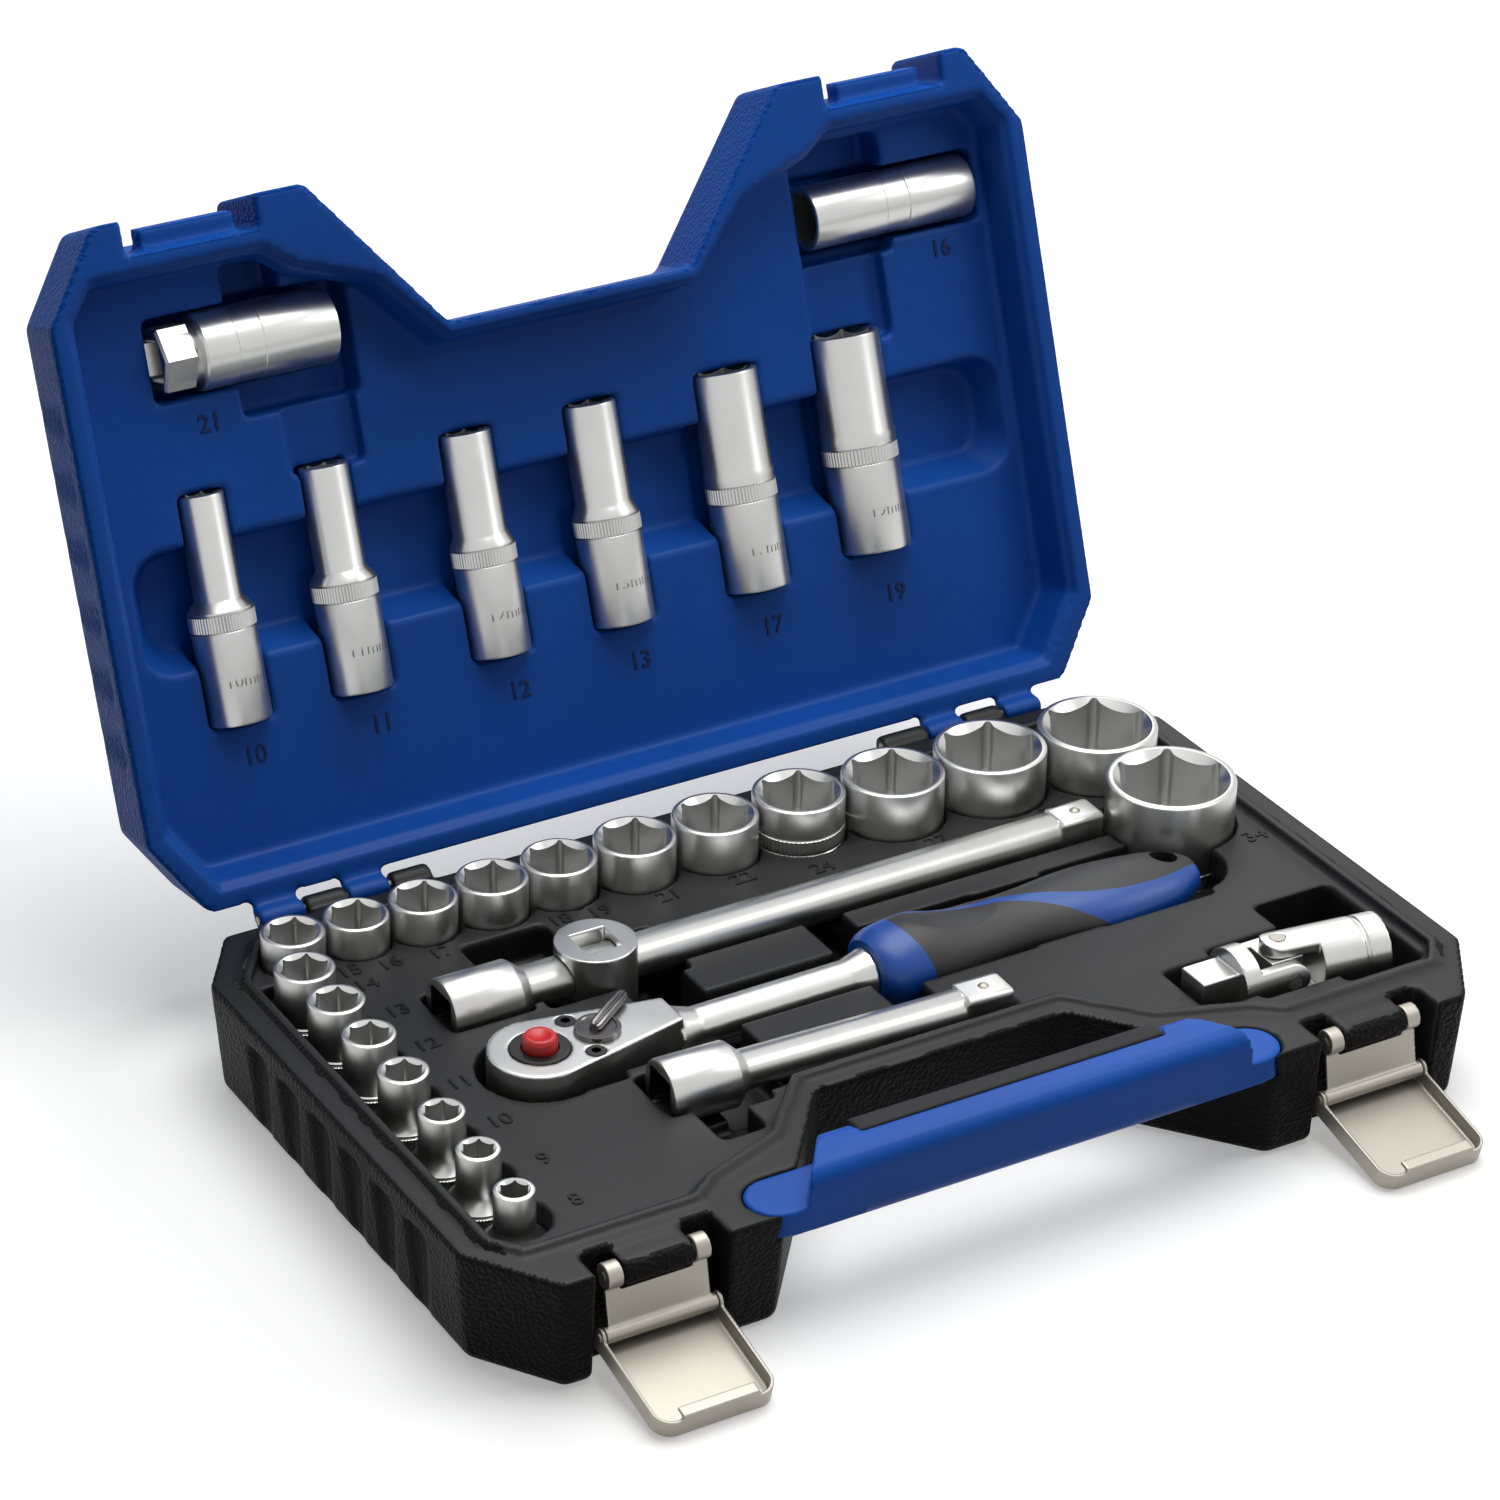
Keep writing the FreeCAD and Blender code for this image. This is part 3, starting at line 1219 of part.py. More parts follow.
def build_universal_joint():
    """The joint about the middle of its block, along X, then laid into the tray."""
    centre = V(dim("joint_x").value, dim("joint_y").value, dim("joint_z").value)
    radius = dim("joint_radius")
    gap = dim("joint_gap")
    ear = dim("joint_ear_half")
    inner = dim("joint_ear_inner")
    pin = dim("joint_pin")
    drive = dim("drive_square") * 0.5
    play = dim("running_gap")

    def ears(name, sign, axis):
        """Two flat ears with round ends, on either side of the block."""
        reach = -gap * sign
        start, stop = sorted([as_size(0), reach], key=lambda size: size.value)
        blank = cylinder(name + "_blank", radius, gap + ear + 2, (as_size(reach) - (0 if sign > 0 else gap + ear + 2), 0, 0),
                         "X")
        strips = []
        for hand in (-1, 1):
            near, far = (inner, radius + 1) if hand > 0 else (-radius - 1, -inner)
            if axis == "Y":
                strips.append(box(name + "_ear", (start, near, -ear), (stop, far, ear)))
                strips.append(cylinder(name + "_end", ear, far - near, (0, near, 0), "Y"))
            else:
                strips.append(box(name + "_ear", (start, -ear, near), (stop, ear, far)))
                strips.append(cylinder(name + "_end", ear, far - near, (0, 0, near), "Z"))
        return common(name + "_ears", [blank, fuse(name + "_strips", strips)])

    collar = dim("joint_collar")
    yoke = fuse("drive_yoke", [
        ears("drive", 1, "Y"),
        cylinder("drive_collar", radius, collar - gap + 0.5, (-collar, 0, 0), "X"),
        square("drive_square", drive, -dim("joint_square"), -collar + 1, "X"),
    ])
    hole = cylinder("drive_pin_hole", pin + play, radius * 2 + 4, (0, -radius - 2, 0), "Y")
    item = cut("drive_yoke_cut", yoke, [hole])
    item.Placement = FreeCAD.Placement(centre, FreeCAD.Rotation())
    finish(item, "joint_drive_yoke")
    block = dim("joint_block")
    cube = box("block", (-block, -block, -block), (block, block, block))
    holes = [
        cylinder("block_hole_y", pin, radius * 2, (0, -radius, 0), "Y"),
        cylinder("block_hole_z", pin, radius * 2, (0, 0, -radius), "Z"),
    ]
    turn = FreeCAD.Rotation(V(0, 0, 1), 0)
    item = cut("block_cut", cube, holes)
    item.Placement = FreeCAD.Placement(centre, turn)
    finish(item, "joint_block")
    reach = dim("joint_pin_half")
    cross = cylinder("pin_y", pin, reach * 2, (0, -reach, 0), "Y")
    upper = cut("pin_up", cylinder("pin_up_rod", pin, reach, (0, 0, 0), "Z"),
                [cylinder("pin_up_gap", pin, reach * 2, (0, -reach, 0), "Y")])
    lower = cut("pin_down", cylinder("pin_down_rod", pin, reach, (0, 0, -reach), "Z"),
                [cylinder("pin_down_gap", pin, reach * 2, (0, -reach, 0), "Y")])
    item = doc.addObject("Part::Compound", "pin_set")
    item.Links = [cross, upper, lower]
    item.Placement = FreeCAD.Placement(centre, turn)
    finish(item, "joint_pins")
    end = dim("joint_end")
    body = fuse("socket_yoke", [
        ears("socket", -1, "Z"),
        cylinder("socket_barrel", radius, end - gap + 0.5, (gap - 0.5, 0, 0), "X"),
    ])
    groove_at = (end - 9, 0, 0)
    groove = cut("groove", cylinder("groove_blank", radius + 1, 1.6, groove_at, "X"),
                 [cylinder("groove_core", radius - dim("joint_groove"), 1.6, groove_at, "X")])
    holes = [
        cylinder("socket_pin_hole", pin + play, radius * 2 + 4, (0, 0, -radius - 2), "Z"),
        square("socket_square", drive + dim("drive_gap") * 0.5, end - dim("drive_depth"), end + 1, "X"),
        groove,
    ]
    item = cut("socket_yoke_cut", body, holes)
    item.Placement = FreeCAD.Placement(centre, FreeCAD.Rotation(V(0, 0, 1), -dim("joint_bend").value))
    finish(item, "joint_socket_yoke")


build_base()
build_lid()
build_hinge_pins()
build_latches()
build_carry_handle()
build_sockets()
build_deep_sockets()
build_spark_sockets()
build_extensions()
build_ratchet()
build_universal_joint()
doc.recompute()

for item in doc.Objects:
    if "Invalid" in item.State or "Error" in item.State:
        raise RuntimeError("%s did not compute: %s" % (item.Name, item.State))
os.makedirs("parts", exist_ok=True)
for item in PARTS:
    if item.Shape.isNull() or not item.Shape.isValid():
        raise RuntimeError("%s has no valid shape" % item.Label)
    item.Shape.exportStep("parts/%s.step" % item.Label)
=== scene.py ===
import json
import math

import bmesh
import bpy
from bpy.props import FloatProperty, FloatVectorProperty, PointerProperty
from mathutils import Matrix, Vector

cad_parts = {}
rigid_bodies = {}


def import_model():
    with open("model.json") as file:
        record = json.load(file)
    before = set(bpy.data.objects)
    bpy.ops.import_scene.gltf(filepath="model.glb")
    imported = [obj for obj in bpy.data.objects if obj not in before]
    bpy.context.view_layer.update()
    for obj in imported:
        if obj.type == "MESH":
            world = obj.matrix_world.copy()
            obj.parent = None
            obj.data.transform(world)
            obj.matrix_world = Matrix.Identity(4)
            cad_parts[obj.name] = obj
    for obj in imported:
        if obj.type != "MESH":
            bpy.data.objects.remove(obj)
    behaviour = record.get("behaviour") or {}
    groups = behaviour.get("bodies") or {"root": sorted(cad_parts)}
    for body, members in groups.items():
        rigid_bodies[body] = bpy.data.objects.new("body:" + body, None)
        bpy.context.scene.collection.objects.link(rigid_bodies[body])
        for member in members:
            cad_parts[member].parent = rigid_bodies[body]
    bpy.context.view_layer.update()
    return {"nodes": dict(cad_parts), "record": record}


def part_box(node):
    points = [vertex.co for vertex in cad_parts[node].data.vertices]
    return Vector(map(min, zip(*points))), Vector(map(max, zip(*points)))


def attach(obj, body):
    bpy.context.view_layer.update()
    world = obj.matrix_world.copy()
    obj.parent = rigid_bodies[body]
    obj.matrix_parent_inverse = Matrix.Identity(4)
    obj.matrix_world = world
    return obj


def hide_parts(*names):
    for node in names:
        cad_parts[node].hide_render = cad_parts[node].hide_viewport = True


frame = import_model()
NODES = frame["nodes"]
BODY_OF = {node: body for body, nodes in frame["record"]["behaviour"]["bodies"].items() for node in nodes}

bl_info = {
    "name": "Socket Wrench Set",
    "version": (1, 0, 0),
    "blender": (4, 5, 0),
    "location": "View3D > Sidebar > Socket Set",
    "description": "Dresses the socket wrench set and its case",
    "category": "Object",
}

MM = 0.001
LATCH_X = 131.0
TRAY_TOP = 38.25
LID_PANEL = 57.7
LID_TOOLS = 60.4
SEGMENTS = 192
LID_ANGLE = math.radians(109.3)
HINGE = Vector((0, 0.120, 0.0378))
OPEN_LID = Matrix.Translation(HINGE) @ Matrix.Rotation(-LID_ANGLE, 4, "X") @ Matrix.Translation(-HINGE)


def colour_prop(name, description, default):
    return FloatVectorProperty(
        name=name, description=description, default=default, subtype="COLOR", size=3, min=0, max=1
    )


class CaseLook(bpy.types.PropertyGroup):
    """Colours and soft edges of the moulded case."""

    black: colour_prop("Black", "Colour of the tray and the base", (0.0075, 0.0075, 0.008))
    blue: colour_prop("Blue", "Colour of the lid and the carrying handle", (0.004, 0.064, 0.33))
    soft: colour_prop("Soft black", "Colour of the grips", (0.016, 0.016, 0.017))
    edge: FloatProperty(
        name="Edge", description="Grid size for rounding the case edges", default=1.1 * MM, unit="LENGTH"
    )
    grain: FloatProperty(
        name="Grain", description="Strength of the moulded grain", default=0.25, subtype="FACTOR"
    )


class ToolLook(bpy.types.PropertyGroup):
    """Finish of the tools and the latches."""

    chrome: colour_prop("Chrome", "Colour of the satin plating", (0.57, 0.57, 0.56))
    steel: colour_prop("Steel", "Colour of the latch sheet", (0.36, 0.34, 0.297))
    # The dark colour also goes on the bores of the extension bars' drive holes as painted shade.
    dark: colour_prop("Dark", "Colour of the blackened parts", (0.05, 0.049, 0.048))
    red: colour_prop("Red", "Colour of the release button", (0.62, 0.012, 0.012))
    satin: FloatProperty(
        name="Satin", description="Roughness of the plating", default=0.30, subtype="FACTOR"
    )


class StageLook(bpy.types.PropertyGroup):
    """Light and floor."""

    floor: colour_prop("Floor", "Colour of the floor", (0.82, 0.82, 0.82))
    lift: FloatProperty(
        name="Lift", description="Share of white that the floor shows by itself", default=0.34
    )
    bounce: FloatProperty(
        name="Bounce", description="Share of the floor's colour that lights the set from below", default=0.5
    )
    sky: FloatProperty(name="Sky", description="Strength of the even light", default=0.12)
    key: FloatProperty(name="Key", description="Power of the large lamp", default=20.0, unit="POWER")


def only(obj):
    """Select one object and make it the active one."""
    bpy.ops.object.select_all(action="DESELECT")
    obj.select_set(True)
    bpy.context.view_layer.objects.active = obj


def edit(obj):
    only(obj)
    bpy.ops.object.mode_set(mode="EDIT")
    bpy.ops.mesh.select_mode(type="VERT")
    bpy.ops.mesh.select_all(action="DESELECT")
    return bmesh.from_edit_mesh(obj.data)


def leave(obj):
    bmesh.update_edit_mesh(obj.data)
    bpy.ops.object.mode_set(mode="OBJECT")


def apply_modifier(obj, kind, **values):
    only(obj)
    modifier = obj.modifiers.new(kind.lower(), kind)
    for key, value in values.items():
        setattr(modifier, key, value)
    bpy.ops.object.modifier_apply(modifier=modifier.name)


def settle(obj):
    """Move the object's place into its mesh, so that the object sits at the origin."""
    only(obj)
    bpy.ops.object.transform_apply(location=True, rotation=True, scale=True)


def smooth(obj, angle):
    only(obj)
    bpy.ops.object.shade_smooth_by_angle(angle=math.radians(angle))


def dress(obj, material):
    obj.data.materials.clear()
    obj.data.materials.append(material)


def keep(obj, body, slot, *nodes):
    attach(obj, body)
    if nodes:
        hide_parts(*nodes)
    return obj


def copy_of(node, name):
    """A copy of a CAD node's mesh as a piece of its own, with its loose triangles merged."""
    source = NODES[node]
    obj = bpy.data.objects.new(name, source.data.copy())
    bpy.context.scene.collection.objects.link(obj)
    edit(obj)
    bpy.ops.mesh.select_all(action="SELECT")
    bpy.ops.mesh.remove_doubles(threshold=0.00001)
    bpy.ops.mesh.normals_make_consistent(inside=False)
    leave(obj)
    return obj


def soften(obj, grid, passes, triangles):
    """Round the edges of a solid: even grid, a few smoothing passes, then thinned to the triangle count."""
    apply_modifier(obj, "REMESH", mode="VOXEL", voxel_size=grid)
    apply_modifier(obj, "SMOOTH", factor=0.5, iterations=passes)
    count = len(obj.data.polygons) * 2
    if count > triangles:
        apply_modifier(obj, "DECIMATE", decimate_type="COLLAPSE", ratio=triangles / count)
    only(obj)
    bpy.ops.object.shade_smooth()
    apply_modifier(obj, "WEIGHTED_NORMAL", mode="FACE_AREA", weight=60)
    return obj


def nodes_of(name):
    material = bpy.data.materials.new(name)
    material.use_nodes = True
    tree = material.node_tree
    shader = tree.nodes["Principled BSDF"]
    return material, tree, shader


def add(tree, kind, **values):
    node = tree.nodes.new(kind)
    for key, value in values.items():
        if key in node.inputs:
            node.inputs[key].default_value = value
        else:
            setattr(node, key, value)
    return node


def ramp(tree, fac, stops):
    node = tree.nodes.new("ShaderNodeValToRGB")
    tree.links.new(fac, node.inputs["Fac"])
    while len(node.color_ramp.elements) < len(stops):
        node.color_ramp.elements.new(0.5)
    for element, (place, colour) in zip(node.color_ramp.elements, stops):
        element.position = place
        element.color = tuple(colour) + (1,)
    return node.outputs["Color"]


def grey(value):
    return (value, value, value)


def tint(colour, factor):
    return tuple(min(1.0, c * factor) for c in colour)


def bump(tree, shader, height, strength, distance):
    node = add(tree, "ShaderNodeBump", Strength=strength, Distance=distance)
    tree.links.new(height, node.inputs["Height"])
    tree.links.new(node.outputs["Normal"], shader.inputs["Normal"])


def moulded(name, colour, rough, pebble, grain, shine=0.18):
    """Moulded plastic: fine skin with patches of gloss; the mesh marks where coarse, duller pebbles are."""
    material, tree, shader = nodes_of(name)
    place = add(tree, "ShaderNodeTexCoord").outputs["Object"]
    patches = add(tree, "ShaderNodeTexNoise", Scale=14.0, Detail=4.0)
    fine = add(tree, "ShaderNodeTexNoise", Scale=1400.0, Detail=2.0)
    cells = add(tree, "ShaderNodeTexVoronoi", Scale=pebble, feature="SMOOTH_F1")
    for node in (patches, fine, cells):
        tree.links.new(place, node.inputs["Vector"])
    shade = ramp(tree, patches.outputs["Fac"], [(0.3, tint(colour, 0.88)), (0.7, tint(colour, 1.12))])
    tree.links.new(shade, shader.inputs["Base Color"])
    gloss = ramp(tree, patches.outputs["Fac"], [(0.25, grey(rough - 0.06)), (0.75, grey(rough + 0.07))])
    tree.links.new(gloss, shader.inputs["Roughness"])
    marked = add(tree, "ShaderNodeAttribute", attribute_name="grain")
    coarse = add(tree, "ShaderNodeMath", operation="MULTIPLY")
    tree.links.new(cells.outputs["Distance"], coarse.inputs[0])
    tree.links.new(marked.outputs["Fac"], coarse.inputs[1])
    height = add(tree, "ShaderNodeMath", operation="MULTIPLY_ADD")
    tree.links.new(coarse.outputs["Value"], height.inputs[0])
    height.inputs[1].default_value = 18.0
    tree.links.new(fine.outputs["Fac"], height.inputs[2])
    bump(tree, shader, height.outputs["Value"], grain, 0.0003)
    sheen = ramp(tree, marked.outputs["Fac"], [(0.0, grey(shine)), (0.25, grey(shine * 0.2))])
    tree.links.new(sheen, shader.inputs["Specular IOR Level"])
    return material


def plated(name, colour, rough, lines):
    """Satin plated steel: soft clouds of gloss, faint turning marks and tiny pits."""
    material, tree, shader = nodes_of(name)
    place = add(tree, "ShaderNodeTexCoord").outputs["Object"]
    clouds = add(tree, "ShaderNodeTexNoise", Scale=60.0, Detail=5.0)
    marks = add(tree, "ShaderNodeTexNoise", Scale=lines, Detail=3.0)
    for node in (clouds, marks):
        tree.links.new(place, node.inputs["Vector"])
    shade = ramp(tree, clouds.outputs["Fac"], [(0.3, tint(colour, 0.97)), (0.7, tint(colour, 1.03))])
    tree.links.new(shade, shader.inputs["Base Color"])
    gloss = ramp(tree, clouds.outputs["Fac"], [(0.3, grey(rough - 0.02)), (0.75, grey(rough + 0.02))])
    tree.links.new(gloss, shader.inputs["Roughness"])
    shader.inputs["Metallic"].default_value = 1.0
    bump(tree, shader, marks.outputs["Fac"], 0.03, 0.00002)
    return material


def glossy(name, colour, rough):
    """Smooth moulded plastic or lacquer with a faint orange-peel surface."""
    material, tree, shader = nodes_of(name)
    place = add(tree, "ShaderNodeTexCoord").outputs["Object"]
    waves = add(tree, "ShaderNodeTexNoise", Scale=420.0, Detail=2.0)
    tree.links.new(place, waves.inputs["Vector"])
    shade = ramp(tree, waves.outputs["Fac"], [(0.3, tint(colour, 0.92)), (0.7, tint(colour, 1.08))])
    tree.links.new(shade, shader.inputs["Base Color"])
    shader.inputs["Roughness"].default_value = rough
    bump(tree, shader, waves.outputs["Fac"], 0.08, 0.0002)
    return material


FINISH = {}


def make_finishes(scene):
    case = scene.case_look
    tool = scene.tool_look
    FINISH["tray"] = moulded("tray_plastic", case.black, 0.45, 800.0, case.grain, 0.27)
    FINISH["lid"] = moulded("lid_plastic", case.blue, 0.46, 800.0, case.grain)
    # The size numbers are moulded in the case's own plastic; their colour is darkened to 0.3 of it as painted
    # shade, so they read dark.
    FINISH["tray_number_shade"] = moulded("tray_number", tint(case.black, 0.3), 0.34, 800.0, case.grain)
    FINISH["lid_number_shade"] = moulded("lid_number", tint(case.blue, 0.3), 0.36, 800.0, case.grain)
    # The carrying handle is the lid's blue lifted 1.3 times: painted light, a lit copy of the same blue
    # plastic.
    FINISH["handle"] = moulded("handle_plastic_painted_light", tint(case.blue, 1.3), 0.40, 1100.0, case.grain * 0.4)
    FINISH["soft"] = moulded("soft_grip", tint(case.soft, 1.5), 0.62, 1500.0, case.grain)
    FINISH["chrome"] = plated("satin_plating", tool.chrome, tool.satin, 2200.0)
    FINISH["steel"] = plated("latch_sheet", tool.steel, 0.48, 1500.0)
    # The stamped figures are chrome darkened to 0.3: painted shade standing in for the stamped grooves, which
    # are drawn as a thin flat film.
    FINISH["stamp"] = plated("stamp_painted_shade", tint(tool.chrome, 0.3), 0.4, 2200.0)
    FINISH["nickel"] = plated("black_nickel", tint(tool.dark, 3.0), 0.22, 900.0)
    # This finish serves the blackened parts and also paints shade into the extension bars' drive holes.
    FINISH["dark"] = plated("blackened_steel_and_bore_shade", tool.dark, 0.32, 600.0)
    FINISH["red"] = glossy("button_plastic", tool.red, 0.28)


class SET_OT_finishes(bpy.types.Operator):
    """Make the finishes and give every node of the frame its own."""

    bl_idname = "socket_set.finishes"
    bl_label = "Finishes"

    def execute(self, context):
        make_finishes(context.scene)
        slots = {row["node"]: row["material_slot"] for row in frame["record"]["subparts"]}
        named = {
            "black_plastic": "tray", "blue_plastic": "lid", "soft_black": "soft", "chrome": "chrome",
            "steel": "steel", "dark_steel": "dark", "red_plastic": "red",
        }
        for node, obj in NODES.items():
            dress(obj, FINISH[named[slots[node]]])
        return {"FINISHED"}


def seen_rays(tree):
    """One for a ray from the camera, off a glossy surface or through glass, and zero for even light."""
    path = add(tree, "ShaderNodeLightPath")
    through = add(tree, "ShaderNodeMath", operation="MAXIMUM")
    tree.links.new(path.outputs["Is Camera Ray"], through.inputs[0])
    tree.links.new(path.outputs["Is Transmission Ray"], through.inputs[1])
    either = add(tree, "ShaderNodeMath", operation="MAXIMUM")
    tree.links.new(through.outputs["Value"], either.inputs[0])
    tree.links.new(path.outputs["Is Glossy Ray"], either.inputs[1])
    return either.outputs["Value"]


class SET_OT_stage(bpy.types.Operator):
    """Floor, even white surroundings, lamps and the camera of the photograph."""

    bl_idname = "socket_set.stage"
    bl_label = "Stage"

    def execute(self, context):
        scene = context.scene
        look = scene.stage_look
        bpy.ops.object.select_all(action="DESELECT")
        bpy.ops.mesh.primitive_plane_add(size=12, location=(0, 0, 0))
        floor = context.active_object
        floor.name = "studio_floor"
        settle(floor)
        material, tree, shader = nodes_of("studio_floor")
        shader.inputs["Base Color"].default_value = tuple(look.floor) + (1,)
        shader.inputs["Roughness"].default_value = 0.9
        shader.inputs["Specular IOR Level"].default_value = 0.0
        bounce = add(tree, "ShaderNodeBsdfDiffuse", Color=tint(look.floor, look.bounce) + (1,))
        lift = add(tree, "ShaderNodeEmission", Strength=look.lift)
        both = add(tree, "ShaderNodeAddShader")
        tree.links.new(shader.outputs["BSDF"], both.inputs[0])
        tree.links.new(lift.outputs["Emission"], both.inputs[1])
        mix = add(tree, "ShaderNodeMixShader")
        tree.links.new(seen_rays(tree), mix.inputs["Fac"])
        tree.links.new(bounce.outputs["BSDF"], mix.inputs[1])
        tree.links.new(both.outputs["Shader"], mix.inputs[2])
        tree.links.new(mix.outputs["Shader"], tree.nodes["Material Output"].inputs["Surface"])
        dress(floor, material)
        world = bpy.data.worlds.new("studio")
        scene.world = world
        world.use_nodes = True
        tree = world.node_tree
        even = tree.nodes["Background"]
        even.inputs["Color"].default_value = (1, 1, 1, 1)
        even.inputs["Strength"].default_value = look.sky
        seen = add(tree, "ShaderNodeBackground", Strength=1.0)
        seen.inputs["Color"].default_value = (1, 1, 1, 1)
        mix = add(tree, "ShaderNodeMixShader")
        tree.links.new(seen_rays(tree), mix.inputs["Fac"])
        tree.links.new(even.outputs["Background"], mix.inputs[1])
        tree.links.new(seen.outputs["Background"], mix.inputs[2])
        tree.links.new(mix.outputs["Shader"], tree.nodes["World Output"].inputs["Surface"])
        for name, place, aim, size, power in (
            ("top_lamp", (0.25, 0.2, 1.5), (0.0, 0.05, 0.03), 1.2, look.key),
            ("side_lamp", (1.1, -0.5, 1.0), (0.0, 0.0, 0.05), 0.5, look.key * 0.18),
            ("back_lamp", (0.7, 1.2, 1.0), (0.0, 0.0, 0.05), 0.8, look.key * 0.2),
        ):
            bpy.ops.object.light_add(type="AREA", location=place)
            lamp = context.active_object
            lamp.name = name
            lamp.data.energy = power
            lamp.data.size = size
            lamp.rotation_euler = (Vector(aim) - Vector(place)).to_track_quat("-Z", "Y").to_euler()
        turn = math.radians(-29.908)
        rise = math.radians(28.791)
        roll = math.radians(0.358)
        back = Vector((math.sin(turn) * math.cos(rise), -math.cos(turn) * math.cos(rise), math.sin(rise)))
        right = (-back).cross(Vector((0, 0, 1))).normalized()
        up = right.cross(-back)
        level = math.cos(roll) * right + math.sin(roll) * up
        upright = -math.sin(roll) * right + math.cos(roll) * up
        bpy.ops.object.camera_add(location=(-0.7277, -1.1641, 0.8847))
        camera = context.active_object
        camera.name = "photo_camera"
        axes = Matrix((level, upright, back)).transposed()
        camera.matrix_world = Matrix.Translation(camera.location) @ axes.to_4x4()
        camera.data.sensor_width = 36
        camera.data.lens = 119.26
        camera.data.shift_x = (750 - 689.85) / 1500
        camera.data.shift_y = (717.07 - 750) / 1500
        camera.data.clip_start = 0.05
        scene.camera = camera
        scene.view_settings.view_transform = "Standard"
        return {"FINISHED"}


def outer_skin(obj, hole, direction):
    """Drop the hidden cavity of a two-wall moulding: open its blow hole, keep the skin and close the hole."""
    mesh = edit(obj)
    bpy.ops.mesh.select_mode(type="FACE")
    for face in mesh.faces:
        reach = face.calc_center_median() - hole
        aside = reach - direction * reach.dot(direction)
        face.select = aside.length < 3.3 * MM and abs(face.normal.dot(direction)) < 0.5
    bpy.ops.mesh.delete(type="FACE")
    bpy.ops.mesh.select_mode(type="VERT")
    bpy.ops.mesh.select_all(action="DESELECT")
    mesh = bmesh.from_edit_mesh(obj.data)
    first = max(mesh.verts, key=lambda v: abs(v.co.x))
    first.select = True
    mesh.select_flush(True)
    bpy.ops.mesh.select_linked()
    bpy.ops.mesh.select_all(action="INVERT")
    bpy.ops.mesh.delete(type="VERT")
    bpy.ops.mesh.select_non_manifold()
    bpy.ops.mesh.edge_face_add()
    bpy.ops.mesh.select_all(action="SELECT")
    bpy.ops.mesh.quads_convert_to_tris()
    leave(obj)


NOTCH_HALF = 46.4
NOTCH_END = -59.3
FLANK_X = 0.786
FLANK_Y = 0.619


def mark_grain(obj, shut):
    """Mark the outer walls, the crown and the notch for the pebbled grain, and the finger hollows less."""
    grain = obj.data.attributes.new("grain", "FLOAT", "POINT")
    turn = shut.to_3x3()
    for vertex, mark in zip(obj.data.vertices, grain.data):
        place = shut @ vertex.co / MM
        facing = turn @ vertex.normal
        outward = facing.x * place.x / 184 + facing.y * place.y / 114
        wall = outward > 0.45 and (abs(place.x) > 172 or abs(place.y) > 96)
        crown = abs(place.z - 38) > 35 and abs(facing.z) > 0.5
        aside = abs(place.x) - NOTCH_HALF
        beyond = place.y - NOTCH_END
        slant = facing.x * math.copysign(FLANK_X, -place.x) - facing.y * FLANK_Y
        notch = slant > 0.6 and beyond < 1 and abs(aside * FLANK_X + beyond * FLANK_Y) < 4
        notch = notch or (facing.y < -0.6 and abs(beyond) < 4 and aside < 1)
        hollow = abs(place.x) > 168 and abs(place.y) < 72 and abs(facing.y) > 0.10
        mark.value = (0.25 if hollow else 1.0) if wall or crown or notch else 0.0


def groove_keepers(lid):
    """Groove the keepers on the lid's front wall for the hooked ends of the latch levers."""
    for x in (-LATCH_X, LATCH_X):
        bpy.ops.object.select_all(action="DESELECT")
        bpy.ops.mesh.primitive_cube_add(size=1)
        groove = bpy.context.active_object
        size = Matrix.Diagonal(Vector((31.0, 4.2, 6.2)) * MM).to_4x4()
        groove.data.transform(lid_place(x, -106.3, 50.0, size))
        apply_modifier(lid, "BOOLEAN", operation="DIFFERENCE", solver="EXACT", object=groove)
        bpy.data.objects.remove(groove)


class SET_OT_case(bpy.types.Operator):
    """The two halves of the case, with the soft edges of a blown moulding."""

    bl_idname = "socket_set.case"
    bl_label = "Case halves"

    def execute(self, context):
        grid = context.scene.case_look.edge
        for node, name, finish, slot, hole, direction in (
            ("base_shell", "case_base", "tray", "black_plastic", Vector((0, 0.075, 0)), Vector((0, 0, 1))),
            ("lid_shell", "case_lid", "lid", "blue_plastic", OPEN_LID @ Vector((0, 0.085, 0.076)),
             OPEN_LID.to_3x3() @ Vector((0, 0, 1))),
        ):
            piece = copy_of(node, name)
            outer_skin(piece, hole, direction)
            if node == "lid_shell":
                groove_keepers(piece)
            soften(piece, grid, 6, 190000)
            mark_grain(piece, Matrix.Identity(4) if node == "base_shell" else OPEN_LID.inverted())
            dress(piece, FINISH[finish])
            keep(piece, BODY_OF[node], slot, node)
        return {"FINISHED"}


TRAY_SIZES = (
    ("8", -139.0, -74.0), ("9", -137.0, -50.0), ("10", -139.0, -25.0), ("11", -140.0, 0.0),
    ("12", -139.0, 24.5), ("13", -138.0, 47.0), ("14", -139.5, 66.0), ("15", -140.7, 76.0),
    ("16", -127.0, 74.0), ("17", -109.5, 72.0), ("18", -66.0, 71.0), ("19", -52.0, 69.5),
    ("21", -27.0, 67.0), ("22", 0.0, 65.0), ("24", 27.0, 58.0), ("27", 70.0, 54.0),
    ("30", 115.0, 52.0), ("34", 166.0, 4.5),
)
LID_SIZES = (
    ("10", -135.0, 70.0), ("11", -88.0, 70.6), ("12", -36.0, 71.6), ("13", 11.0, 72.2), ("17", 64.0, 72.2),
    ("19", 114.5, 71.8), ("21", -129.7, -41.5), ("16", 153.6, -44.1),
)


